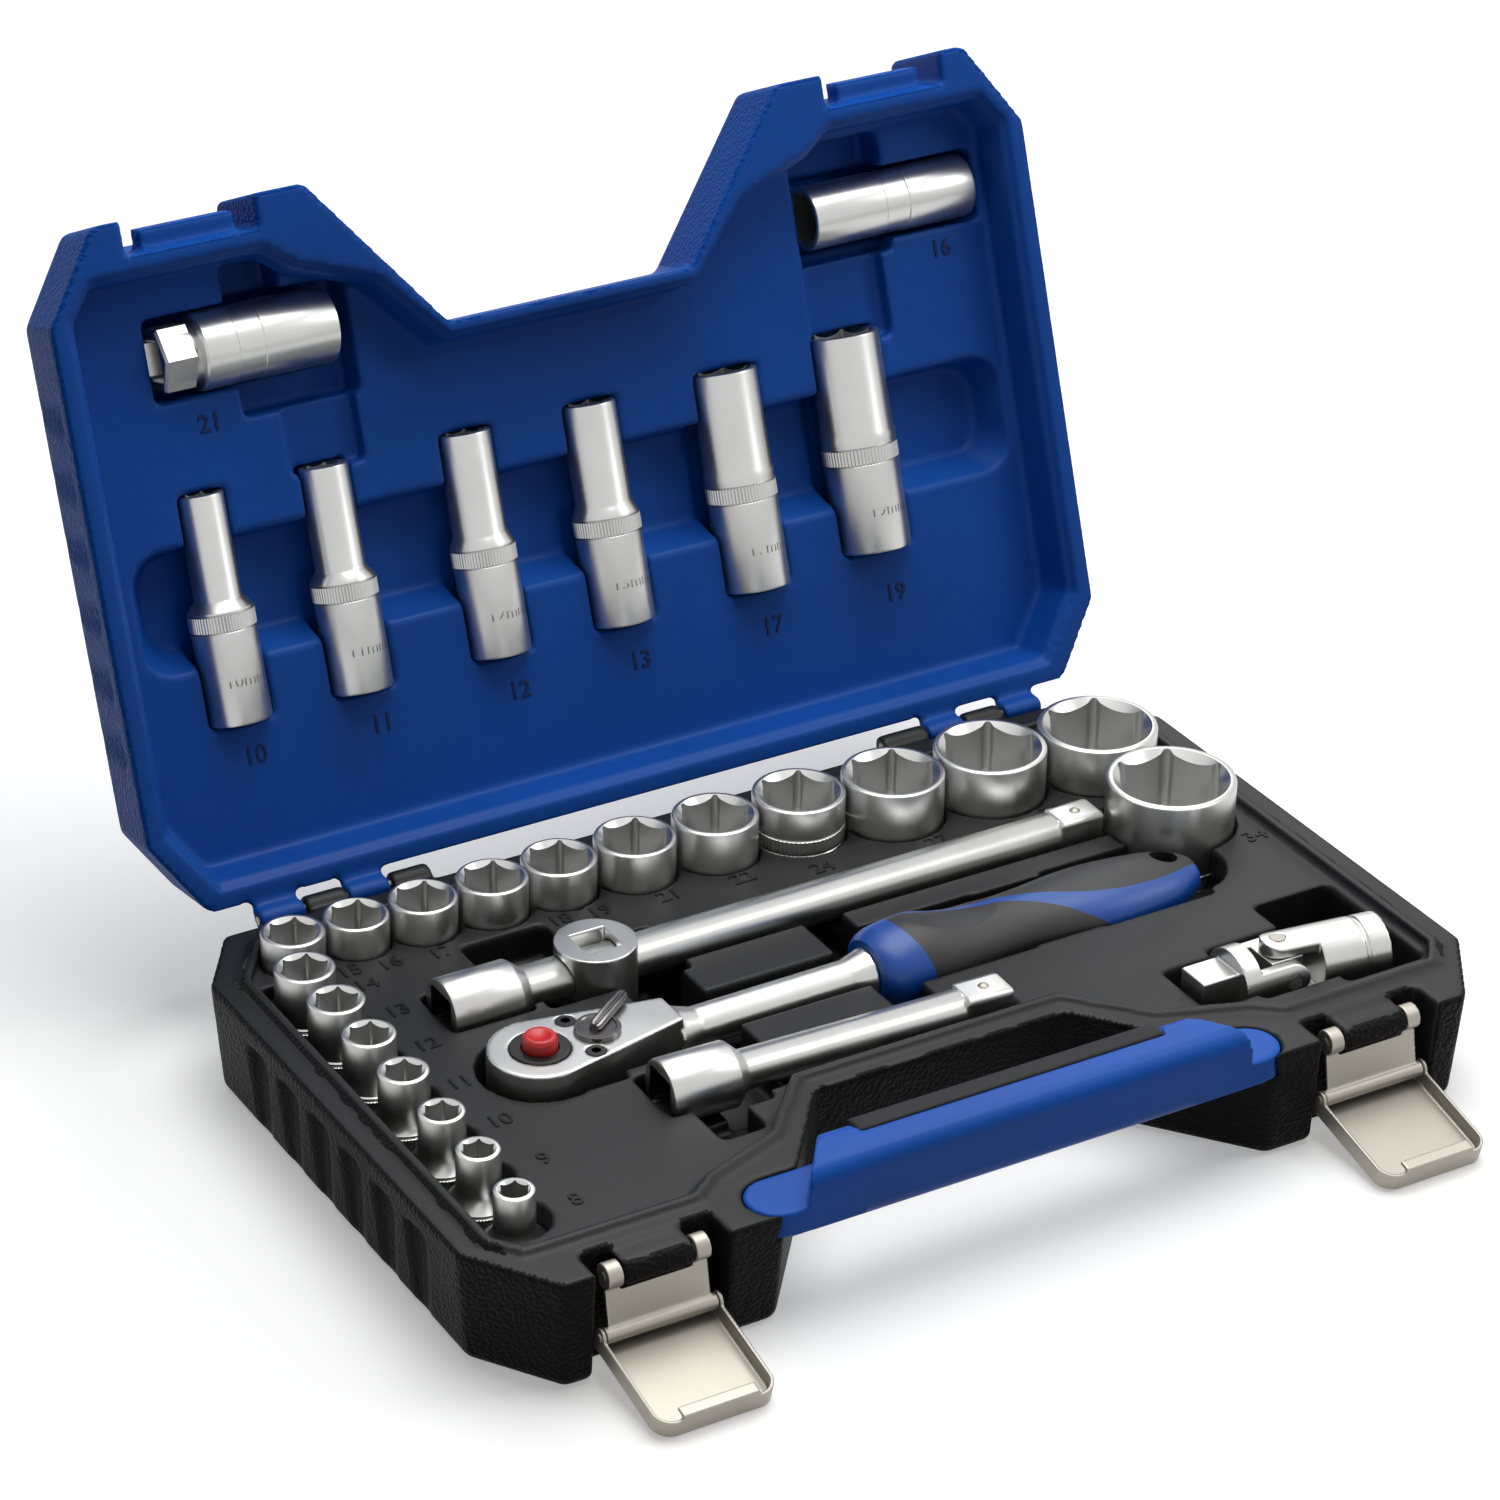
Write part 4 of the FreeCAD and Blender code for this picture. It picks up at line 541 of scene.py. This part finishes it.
def lettered(text, size, thick, edge):
    """A mesh of plain figures lying flat, centred on the origin."""
    bpy.ops.object.select_all(action="DESELECT")
    bpy.ops.object.text_add()
    obj = bpy.context.active_object
    obj.data.body = text
    obj.data.size = size * MM
    obj.data.extrude = thick * MM
    obj.data.bevel_depth = edge * MM
    obj.data.align_x = "CENTER"
    obj.data.align_y = "CENTER"
    bpy.ops.object.convert(target="MESH")
    return bpy.context.active_object


def raised_number(text, place):
    """A moulded size number: 6.5 mm tall, standing a third of a millimetre proud."""
    obj = lettered(text, 8.6, 0.5, 0.12)
    obj.data.transform(place)
    return obj


def size_stamp(text, name, radius, height, aside):
    """A stamped size that is wrapped round a socket drawn up the Z axis, on its -Y side."""
    obj = lettered(text, 6.2, 0.05, 0.0)
    obj.name = name
    for vertex in obj.data.vertices:
        turn = vertex.co.x / (radius * MM) + aside
        far = radius * MM + vertex.co.z
        vertex.co = Vector((far * math.sin(turn), -far * math.cos(turn), height * MM + vertex.co.y))
    return obj


class SET_OT_size_numbers(bpy.types.Operator):
    """The plain size numbers moulded beside the pockets."""

    bl_idname = "socket_set.size_numbers"
    bl_label = "Size numbers"

    def execute(self, context):
        face_down = Matrix.Rotation(math.pi, 4, "X")
        for rows, name, finish, slot, node in (
            ([(text, Matrix.Translation(Vector((x, y, TRAY_TOP)) * MM)) for text, x, y in TRAY_SIZES],
             "tray_numbers", "tray_number_shade", "black_plastic", "base_shell"),
            ([(text, lid_place(x, y, LID_PANEL, face_down)) for text, x, y in LID_SIZES],
             "lid_numbers", "lid_number_shade", "blue_plastic", "lid_shell"),
        ):
            parts = [raised_number(text, place) for text, place in rows]
            bpy.ops.object.select_all(action="DESELECT")
            for part in parts:
                part.select_set(True)
            context.view_layer.objects.active = parts[0]
            bpy.ops.object.join()
            piece = parts[0]
            piece.name = name
            dress(piece, FINISH[finish])
            keep(piece, BODY_OF[node], slot)
        return {"FINISHED"}


def reach(kind, size, angle, index):
    """Distance from the axis to an outline at an angle; size is the radius or half the width over flats."""
    if kind in ("hex", "fluted"):
        step = math.tau / 6
        far = size / math.cos(angle % step - step / 2)
        off = min(angle % step, step - angle % step)
        room = (size * 0.12) ** 2 - (size * 1.05 * math.sin(off)) ** 2
        if kind == "fluted" and room > 0:
            far = max(far, size * 1.05 * math.cos(off) + math.sqrt(room))
        return far
    if kind == "square":
        step = math.tau / 4
        return min(size / math.cos((angle + step / 2) % step - step / 2), size * 1.32)
    if kind == "ridged":
        return size * (1 + 0.11 * math.cos(9 * angle))
    if kind == "ribs":
        return size + (0.14 if index % 3 else -0.16)
    return size


def turned(name, rings, segments, ends):
    """Draw a turned piece up the Z axis, one extruded and shaped loop after another, then close its ends."""
    bpy.ops.object.select_all(action="DESELECT")
    bpy.ops.mesh.primitive_circle_add(vertices=segments, radius=1)
    obj = bpy.context.active_object
    obj.name = name
    mesh = edit(obj)
    bpy.ops.mesh.select_all(action="SELECT")
    squeeze = 1.0
    for number, ring in enumerate(rings):
        if number:
            bpy.ops.mesh.extrude_edges_move()
            mesh = bmesh.from_edit_mesh(obj.data)
        kind, size, height = ring[:3]
        wide, tall = size if isinstance(size, tuple) else (size, size)
        for vertex in mesh.verts:
            if not vertex.select:
                continue
            angle = math.atan2(vertex.co.y / squeeze, vertex.co.x) % math.tau
            index = round(angle / math.tau * segments)
            angle = index * math.tau / segments
            far = reach(kind, wide, angle, index)
            level = height - (ring[3] - far) if len(ring) > 3 else height
            vertex.co = Vector((far * math.cos(angle), far * tall / wide * math.sin(angle), level)) * MM
        squeeze = tall / wide
    bpy.ops.mesh.select_all(action="DESELECT")
    bpy.ops.mesh.select_non_manifold()
    if ends == "joined":
        bpy.ops.mesh.bridge_edge_loops()
    else:
        bpy.ops.mesh.select_all(action="SELECT")
        bpy.ops.mesh.fill_holes(sides=0)
    bpy.ops.mesh.select_all(action="SELECT")
    bpy.ops.mesh.normals_make_consistent(inside=False)
    leave(obj)
    smooth(obj, 32)
    return obj


DRIVE_HOLE = [("square", 6.45, 16.0), ("square", 6.45, 0.9), ("square", 7.0, 0.0)]


def drive_mouth(radius):
    """Loops of a square drive hole and the rounded end face round it."""
    return DRIVE_HOLE + [
        ("round", radius - 0.9, 0.0), ("round", radius - 0.28, 0.22), ("round", radius, 0.9),
    ]


def hex_mouth(radius, flats, length, depth):
    """Loops of a rounded rim, its lead-in cone, the six-sided hole and the bore below it."""
    corner = flats / math.sqrt(3) + 0.35
    rim = max(radius - 0.75, corner + 0.15)
    return [
        ("round", radius, length - 0.9), ("round", radius - 0.2, length - 0.3), ("round", rim, length),
        ("round", corner, length), ("fluted", flats / 2, length, corner),
        ("fluted", flats / 2, length - depth),
        ("round", 3.5, length - depth - 0.8), ("round", 3.5, 16.4),
    ]


def ribbed_band(radius, low, high):
    return [
        ("round", radius, low - 0.4), ("round", radius - 0.35, low), ("ribs", radius + 0.1, low + 0.3),
        ("ribs", radius + 0.1, high - 0.3), ("round", radius - 0.35, high), ("round", radius, high + 0.4),
    ]


NECKS = {8: 13.0, 9: 14.0, 10: 15.0, 11: 16.5, 12: 17.5, 13: 18.8, 14: 20.0}
SHORT_SIZES = (8, 9, 10, 11, 12, 13, 14, 15, 16, 17, 18, 19, 21, 22, 24, 27, 30, 32, 34)


class SET_OT_short_sockets(bpy.types.Operator):
    """The short sockets that stand in the tray."""

    bl_idname = "socket_set.short_sockets"
    bl_label = "Short sockets"

    def execute(self, context):
        for size in SHORT_SIZES:
            node = "socket_%02d" % size
            low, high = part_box(node)
            foot = (high.x - low.x) / 2 / MM
            length = (high.z - low.z) / MM
            neck = NECKS.get(size, foot * 2) / 2
            rings = drive_mouth(foot)
            if size in NECKS:
                rings += ribbed_band(foot - 0.2, 13.6, 18.8)
                rings += [("round", foot - 0.2, 19.8), ("round", foot - 0.7, 20.2)]
                rings += [
                    ("round", neck + (foot - 0.7 - neck) * (1 - share) ** 2, 20.2 + 5.3 * share)
                    for share in (0.25, 0.5, 0.75, 1.0)
                ]
            else:
                low_rib = 26.2 if size == 24 else 11.0
                rings += ribbed_band(foot - 0.2, low_rib, low_rib + 5.6)
            rings += hex_mouth(neck, size + 0.2, length, (size + 0.2) * 0.62 if size > 24 else 15.0)
            piece = turned("short_socket_%02d" % size, rings, SEGMENTS, "joined")
            piece.data.transform(Matrix.Translation(((low.x + high.x) / 2, (low.y + high.y) / 2, low.z)))
            dress(piece, FINISH["chrome"])
            keep(piece, BODY_OF[node], "chrome", node)
        return {"FINISHED"}


def lid_place(x, y, z, turn):
    """Where a piece goes that lies in the lid, given with the lid shut."""
    return OPEN_LID @ Matrix.Translation(Vector((x, y, z)) * MM) @ turn


ALONG_X = Matrix.Rotation(math.radians(90), 4, "Y")
AGAINST_X = Matrix.Rotation(math.radians(-90), 4, "Y")
AGAINST_Y = Matrix.Rotation(math.radians(90), 4, "X")
DEEP = {
    10: (-137.0, 58.0, 16.0, 22.0), 11: (-92.0, 58.0, 17.0, 22.0), 12: (-39.5, 58.0, 18.5, 22.0),
    13: (8.2, 58.0, 19.5, 23.0), 17: (61.5, 58.0, 24.0, 24.5), 19: (110.5, 55.0, 26.0, 26.5),
}


class SET_OT_deep_sockets(bpy.types.Operator):
    """The deep sockets and the two spark plug sockets that lie in the lid."""

    bl_idname = "socket_set.deep_sockets"
    bl_label = "Deep sockets"

    def execute(self, context):
        for size, (x, end, hex_width, drive_width) in DEEP.items():
            node = "deep_socket_%02d" % size
            thin = hex_width / 2
            thick = drive_width / 2
            rings = drive_mouth(thick)
            rings += ribbed_band(thick + 0.1, 31.8, 37.6)
            rings += [("round", thick, 38.6), ("round", thin + 0.5, 41.4), ("round", thin, 42.4)]
            rings += hex_mouth(thin, size + 0.2, 77.3, 30.0)
            piece = turned("long_socket_%02d" % size, rings, SEGMENTS, "joined")
            piece.data.transform(lid_place(x, end, LID_TOOLS, AGAINST_Y))
            dress(piece, FINISH["chrome"])
            keep(piece, BODY_OF[node], "chrome", node)
            stamp = size_stamp("%dmm" % size, "size_stamp_%02d" % size, thick, 15.0, 0.1)
            stamp.data.transform(lid_place(x, end, LID_TOOLS, AGAINST_Y))
            # Painted shade: the flat film of figures takes the darkened chrome in place of the shade in
            # stamped grooves.
            dress(stamp, FINISH["stamp"])
            keep(stamp, BODY_OF[node], "chrome")
        for size, radius, end, length, y, z, turn in (
            (16, 11.3, 168.0, 65.0, -64.0, 62.4, AGAINST_X),
            (21, 13.0, -144.5, 62.0, -65.0, LID_TOOLS, ALONG_X),
        ):
            node = "spark_socket_%02d" % size
            if size == 21:
                rings = DRIVE_HOLE + [
                    ("hex", 9.6, 0.0), ("hex", 10.4, 0.9), ("hex", 10.4, 11.0), ("round", 10.0, 12.2),
                    ("round", 9.8, 13.6), ("round", 12.4, 13.9), ("round", radius, 14.6),
                ]
            else:
                rings = drive_mouth(radius)
            middle = length * 0.42
            rings += [
                ("round", radius, middle - 0.3), ("round", radius - 0.25, middle),
                ("round", radius - 0.25, middle + 9), ("round", radius, middle + 9.3),
            ]
            rings += hex_mouth(radius, size + 0.2, length, 24.0)
            piece = turned("plug_socket_%02d" % size, rings, SEGMENTS, "joined")
            piece.data.transform(lid_place(end, y, z, turn))
            dress(piece, FINISH["chrome"])
            keep(piece, BODY_OF[node], "chrome", node)
        return {"FINISHED"}


class SET_OT_extensions(bpy.types.Operator):
    """The two extension bars and the adapter that slides on the long one."""

    bl_idname = "socket_set.extensions"
    bl_label = "Extension bars"

    def execute(self, context):
        for node, start, yaw, length, collar, shank in (
            ("long_extension", (-126.4, 39.1, 39.0), 0.0, 250.0, 25.0, 7.25),
            ("short_extension", (-88.7, -36.1, 39.0), -2.2, 124.5, 24.0, 6.75),
        ):
            nose = length - 16.7
            rings = drive_mouth(11.0)
            rings += [
                ("round", 11.0, collar - 0.6), ("round", 10.7, collar),
                ("round", shank + 0.7, collar + 3.4), ("round", shank, collar + 4.6),
                ("round", shank, nose - 1.4), ("round", shank - 0.5, nose - 0.6),
                ("square", 6.1, nose), ("square", 6.35, nose + 0.4), ("square", 6.35, length - 1.6),
                ("square", 6.0, length - 0.5), ("square", 5.3, length),
            ]
            piece = turned(node + "_bar", rings, 64, "capped")
            # The faces inside the drive hole take the dark finish: painted shade in the bore, which is plated
            # steel like the rest.
            shaded_bore = [face.index for face in piece.data.polygons
                     if 0.3 * MM < face.center.z < 17 * MM and face.center.xy.length < 9.6 * MM]
            turn = Matrix.Rotation(math.radians(yaw), 4, "Z")
            piece.data.transform(Matrix.Translation(Vector(start) * MM) @ turn @ ALONG_X)
            dress(piece, FINISH["chrome"])
            piece.data.materials.append(FINISH["dark"])
            for index in shaded_bore:
                piece.data.polygons[index].material_index = 1
            keep(piece, BODY_OF[node], "chrome", node)
        soft_node("bar_adapter", "sliding_adapter", 0.35, 3, 40000, "chrome", "chrome")
        return {"FINISHED"}


def soft_node(node, name, grid, passes, triangles, finish, slot):
    """A copy of a CAD node with its edges rounded, standing for the node."""
    piece = copy_of(node, name)
    soften(piece, grid * MM, passes, triangles)
    dress(piece, FINISH[finish])
    return keep(piece, BODY_OF[node], slot, node)


def round_end(obj, place):
    """Round the two corners at the free end of a lever, seen on its flat side."""
    back = place.inverted()
    radius = 6.5 * MM
    across = 20.5 * MM - radius
    along = 38.2 * MM - radius
    for vertex in obj.data.vertices:
        spot = back @ vertex.co
        wide = abs(spot.x) - across
        far = spot.z - along
        if wide > 0 and far > 0:
            share = max(wide, far) / math.hypot(wide, far)
            spot.x = math.copysign(across + wide * share, spot.x)
            spot.z = along + far * share
            vertex.co = place @ spot


class SET_OT_latches(bpy.types.Operator):
    """The over-centre latches of bent sheet."""

    bl_idname = "socket_set.latches"
    bl_label = "Latches"

    def execute(self, context):
        lean = Matrix.Rotation(math.radians(103.7), 4, "X")
        for side, x in (("left", -LATCH_X), ("right", LATCH_X)):
            place = Matrix.Translation(Vector((x, -111.1, 15.4)) * MM) @ lean
            piece = copy_of(side + "_latch_lever", side + "_lever_sheet")
            bpy.ops.object.select_all(action="DESELECT")
            bpy.ops.mesh.primitive_cube_add(size=1)
            fold = context.active_object
            fold.data.transform(place @ Matrix.Translation(Vector((0, 1.4, 36.1)) * MM)
                                @ Matrix.Diagonal(Vector((26.0, 1.2, 4.0)) * MM).to_4x4())
            only(piece)
            fold.select_set(True)
            bpy.ops.object.join()
            soften(piece, 0.35 * MM, 3, 60000)
            round_end(piece, place)
            dress(piece, FINISH["steel"])
            keep(piece, BODY_OF[side + "_latch_lever"], "steel", side + "_latch_lever")
            soft_node(side + "_latch_link", side + "_link_sheet", 0.35, 2, 40000, "steel", "steel")
        return {"FINISHED"}


class SET_OT_carry_handle(bpy.types.Operator):
    """The carrying handle and its soft insert."""

    bl_idname = "socket_set.carry_handle"
    bl_label = "Carrying handle"

    def execute(self, context):
        soft_node("carry_handle", "handle_moulding", 0.8, 3, 60000, "handle", "blue_plastic")
        soft_node("handle_grip", "handle_insert", 0.7, 2, 30000, "soft", "soft_black")
        return {"FINISHED"}


GRIP_SECTIONS = (
    (121.0, 12.0, 9.8), (123.0, 14.4, 10.7), (127.0, 16.0, 11.4), (136.0, 16.4, 11.6), (145.0, 16.4, 11.6),
    (158.0, 15.0, 11.1), (172.0, 13.8, 10.6), (181.0, 14.2, 10.6), (190.0, 15.2, 10.8), (201.0, 16.7, 10.9),
    (212.0, 17.0, 10.8), (224.0, 16.0, 10.2), (235.0, 14.2, 9.3), (241.0, 11.8, 8.4), (246.0, 8.8, 7.0),
    (249.4, 6.4, 5.2), (250.4, 4.6, 3.6),
)
BAND = (
    (0.00, 0.60, 0.10), (0.12, 0.60, 0.10), (0.24, 0.56, 0.09), (0.33, 0.44, 0.10), (0.40, 0.22, 0.13),
    (0.47, -0.06, 0.17), (0.54, -0.36, 0.21), (0.61, -0.62, 0.25), (0.70, -0.80, 0.28), (0.80, -0.88, 0.30),
    (0.90, -0.90, 0.34), (1.00, -0.85, 0.40),
)


def between(rows, at):
    """Smooth values of a table of (place, value, value) rows at any place along it."""
    last = len(rows) - 1
    left = max((i for i in range(last) if rows[i][0] <= at), default=0)
    share = min(1.0, max(0.0, (at - rows[left][0]) / (rows[left + 1][0] - rows[left][0])))
    values = []
    for k in (1, 2):
        def slope(i):
            low, high = max(0, i - 1), min(last, i + 1)
            return (rows[high][k] - rows[low][k]) / (rows[high][0] - rows[low][0])
        step = rows[left + 1][0] - rows[left][0]
        start, stop = rows[left][k], rows[left + 1][k]
        curve = (1 + 2 * share) * (1 - share) ** 2 * start + share ** 2 * (3 - 2 * share) * stop
        lean = (1 - share) * slope(left) - share * slope(left + 1)
        values.append(curve + step * share * (1 - share) * lean)
    return values


def shape_grip(grip, length):
    """Raise the palm swell, press the thumb dish, bore the hanging hole and mark the blue part of the grip.

    The grip is drawn up the Z axis with its top at -X.
    """
    for vertex in grip.data.vertices:
        spot = vertex.co / MM
        if spot.x > 0:
            continue
        swell = math.exp(-((spot.z - 18.0) / 16.0) ** 2)
        vertex.co.x *= 1.06 + 0.24 * swell
        dish = ((spot.z - 33.0) / 18.0) ** 2 + ((spot.y - 2.5) / 10.5) ** 2
        if dish < 1:
            vertex.co.x += 1.5 * MM * (1 - dish * dish)
    bpy.ops.object.select_all(action="DESELECT")
    bpy.ops.mesh.primitive_cylinder_add(vertices=48, radius=4.8 * MM, depth=40 * MM)
    drill = bpy.context.active_object
    drill.data.transform(Matrix.Translation(Vector((0, 1.6, 118.0)) * MM) @ ALONG_X)
    apply_modifier(grip, "BOOLEAN", operation="DIFFERENCE", solver="EXACT", object=drill)
    bpy.data.objects.remove(drill)
    blue = grip.data.attributes.new("blue", "FLOAT", "POINT")
    for vertex, mark in zip(grip.data.vertices, blue.data):
        spot = vertex.co / MM
        share = spot.z / length
        wide = between(GRIP_SECTIONS, GRIP_SECTIONS[0][0] + spot.z)[0]
        aside = spot.y / wide
        middle, half = between(BAND, share)
        collar = 0.088 + 0.03 * aside * aside - 0.012 * aside
        mark.value = max(half - abs(aside - middle), (collar - share) * 8)


def handle_finish(look):
    """Soft black grip; the blue part follows the marks on the mesh."""
    material, tree, shader = nodes_of("two_colour_grip")
    place = add(tree, "ShaderNodeTexCoord").outputs["Object"]
    marked = add(tree, "ShaderNodeAttribute", attribute_name="blue")
    band = add(tree, "ShaderNodeMath", operation="GREATER_THAN")
    band.inputs[1].default_value = 0.0
    tree.links.new(marked.outputs["Fac"], band.inputs[0])
    skin = add(tree, "ShaderNodeTexNoise", Scale=1500.0, Detail=3.0)
    tree.links.new(place, skin.inputs["Vector"])
    shade = ramp(tree, band.outputs["Value"], [(0.0, tuple(look.soft)), (1.0, tint(look.blue, 1.1))])
    tree.links.new(shade, shader.inputs["Base Color"])
    gloss = ramp(tree, band.outputs["Value"], [(0.0, grey(0.52)), (1.0, grey(0.38))])
    tree.links.new(gloss, shader.inputs["Roughness"])
    bump(tree, shader, skin.outputs["Fac"], 0.15, 0.0002)
    return material


def ratchet_place():
    turn = Matrix.Rotation(math.radians(0.7), 4, "Z")
    return Matrix.Translation(Vector((-113.4, -3.4, 0)) * MM) @ turn


class SET_OT_ratchet(bpy.types.Operator):
    """The ratchet: forged head and shank, reversing lever, button and two-colour grip."""

    bl_idname = "socket_set.ratchet"
    bl_label = "Ratchet"

    def execute(self, context):
        soft_node("ratchet_body", "ratchet_forging", 0.5, 10, 90000, "chrome", "chrome")
        post = ratchet_place() @ Matrix.Translation(Vector((20.7, 0, 0)) * MM)
        switch = turned("reversing_switch", [
            ("round", 3.4, 30.0), ("round", 3.4, 45.1), ("round", 7.6, 45.1), ("round", 7.6, 46.5),
            ("round", 7.2, 47.0), ("round", 6.2, 47.0), ("round", 5.8, 46.6), ("round", 0.4, 46.6),
        ], 72, "capped")
        thumb = turned("thumb_bar", [
            ("ridged", 1.5, -2.6), ("ridged", 2.05, -1.6), ("ridged", 2.1, 16.5), ("ridged", 1.5, 19.4),
        ], 72, "capped")
        thumb.data.transform(Matrix.Translation(Vector((0, 0, 47.4)) * MM)
                             @ Matrix.Rotation(math.radians(36), 4, "Z") @ ALONG_X)
        only(switch)
        thumb.select_set(True)
        bpy.ops.object.join()
        switch.data.transform(post)
        dress(switch, FINISH["nickel"])
        keep(switch, BODY_OF["reversing_lever"], "dark_steel", "reversing_lever")
        button = turned("button_cap", [
            ("round", 5.75, 38.5), ("round", 5.75, 48.0), ("round", 5.5, 49.1), ("round", 4.9, 49.8),
            ("round", 4.2, 50.0), ("round", 3.3, 49.8), ("round", 1.8, 49.3), ("round", 0.4, 49.2),
        ], 64, "capped")
        button.data.transform(ratchet_place())
        dress(button, FINISH["red"])
        keep(button, BODY_OF["release_button"], "red_plastic", "release_button")
        soft_node("button_ring", "button_collar", 0.2, 2, 16000, "dark", "dark_steel")
        first, last = GRIP_SECTIONS[0][0], GRIP_SECTIONS[-1][0]
        rings = []
        for step in range(91):
            along = first + (last - first) * step / 90
            width, height = between(GRIP_SECTIONS, along)
            rings.append(("round", (height, width), along - first))
        grip = turned("ratchet_grip_moulding", rings, 96, "capped")
        shape_grip(grip, last - first)
        grip.data.transform(ratchet_place() @ Matrix.Translation(Vector((first, 0, 35.0)) * MM) @ ALONG_X)
        smooth(grip, 50)
        dress(grip, handle_finish(context.scene.case_look))
        keep(grip, "ratchet", "soft_black", "ratchet_handle", "ratchet_grip")
        return {"FINISHED"}


class SET_OT_universal_joint(bpy.types.Operator):
    """The two yokes and the block of the universal joint."""

    bl_idname = "socket_set.universal_joint"
    bl_label = "Universal joint"

    def execute(self, context):
        soft_node("joint_drive_yoke", "driven_yoke", 0.35, 3, 50000, "chrome", "chrome")
        soft_node("joint_socket_yoke", "socketed_yoke", 0.35, 3, 50000, "chrome", "chrome")
        soft_node("joint_block", "cross_block", 0.3, 3, 16000, "chrome", "chrome")
        return {"FINISHED"}


class SET_PT_panel(bpy.types.Panel):
    """Lists the steps that dress the set."""

    bl_label = "Socket Set"
    bl_space_type = "VIEW_3D"
    bl_region_type = "UI"
    bl_category = "Socket Set"

    def draw(self, context):
        for operator in OPERATORS:
            self.layout.operator(operator.bl_idname)


OPERATORS = (
    SET_OT_finishes,
    SET_OT_stage,
    SET_OT_case,
    SET_OT_size_numbers,
    SET_OT_short_sockets,
    SET_OT_deep_sockets,
    SET_OT_extensions,
    SET_OT_latches,
    SET_OT_carry_handle,
    SET_OT_ratchet,
    SET_OT_universal_joint,
)
GROUPS = (("case_look", CaseLook), ("tool_look", ToolLook), ("stage_look", StageLook))


def register():
    for name, group in GROUPS:
        bpy.utils.register_class(group)
        setattr(bpy.types.Scene, name, PointerProperty(type=group))
    for operator in OPERATORS:
        bpy.utils.register_class(operator)
    bpy.utils.register_class(SET_PT_panel)


def unregister():
    bpy.utils.unregister_class(SET_PT_panel)
    for operator in reversed(OPERATORS):
        bpy.utils.unregister_class(operator)
    for name, group in reversed(GROUPS):
        delattr(bpy.types.Scene, name)
        bpy.utils.unregister_class(group)


def main():
    register()
    for operator in OPERATORS:
        family, step = operator.bl_idname.split(".")
        getattr(getattr(bpy.ops, family), step)()


if __name__ == "__main__":
    main()
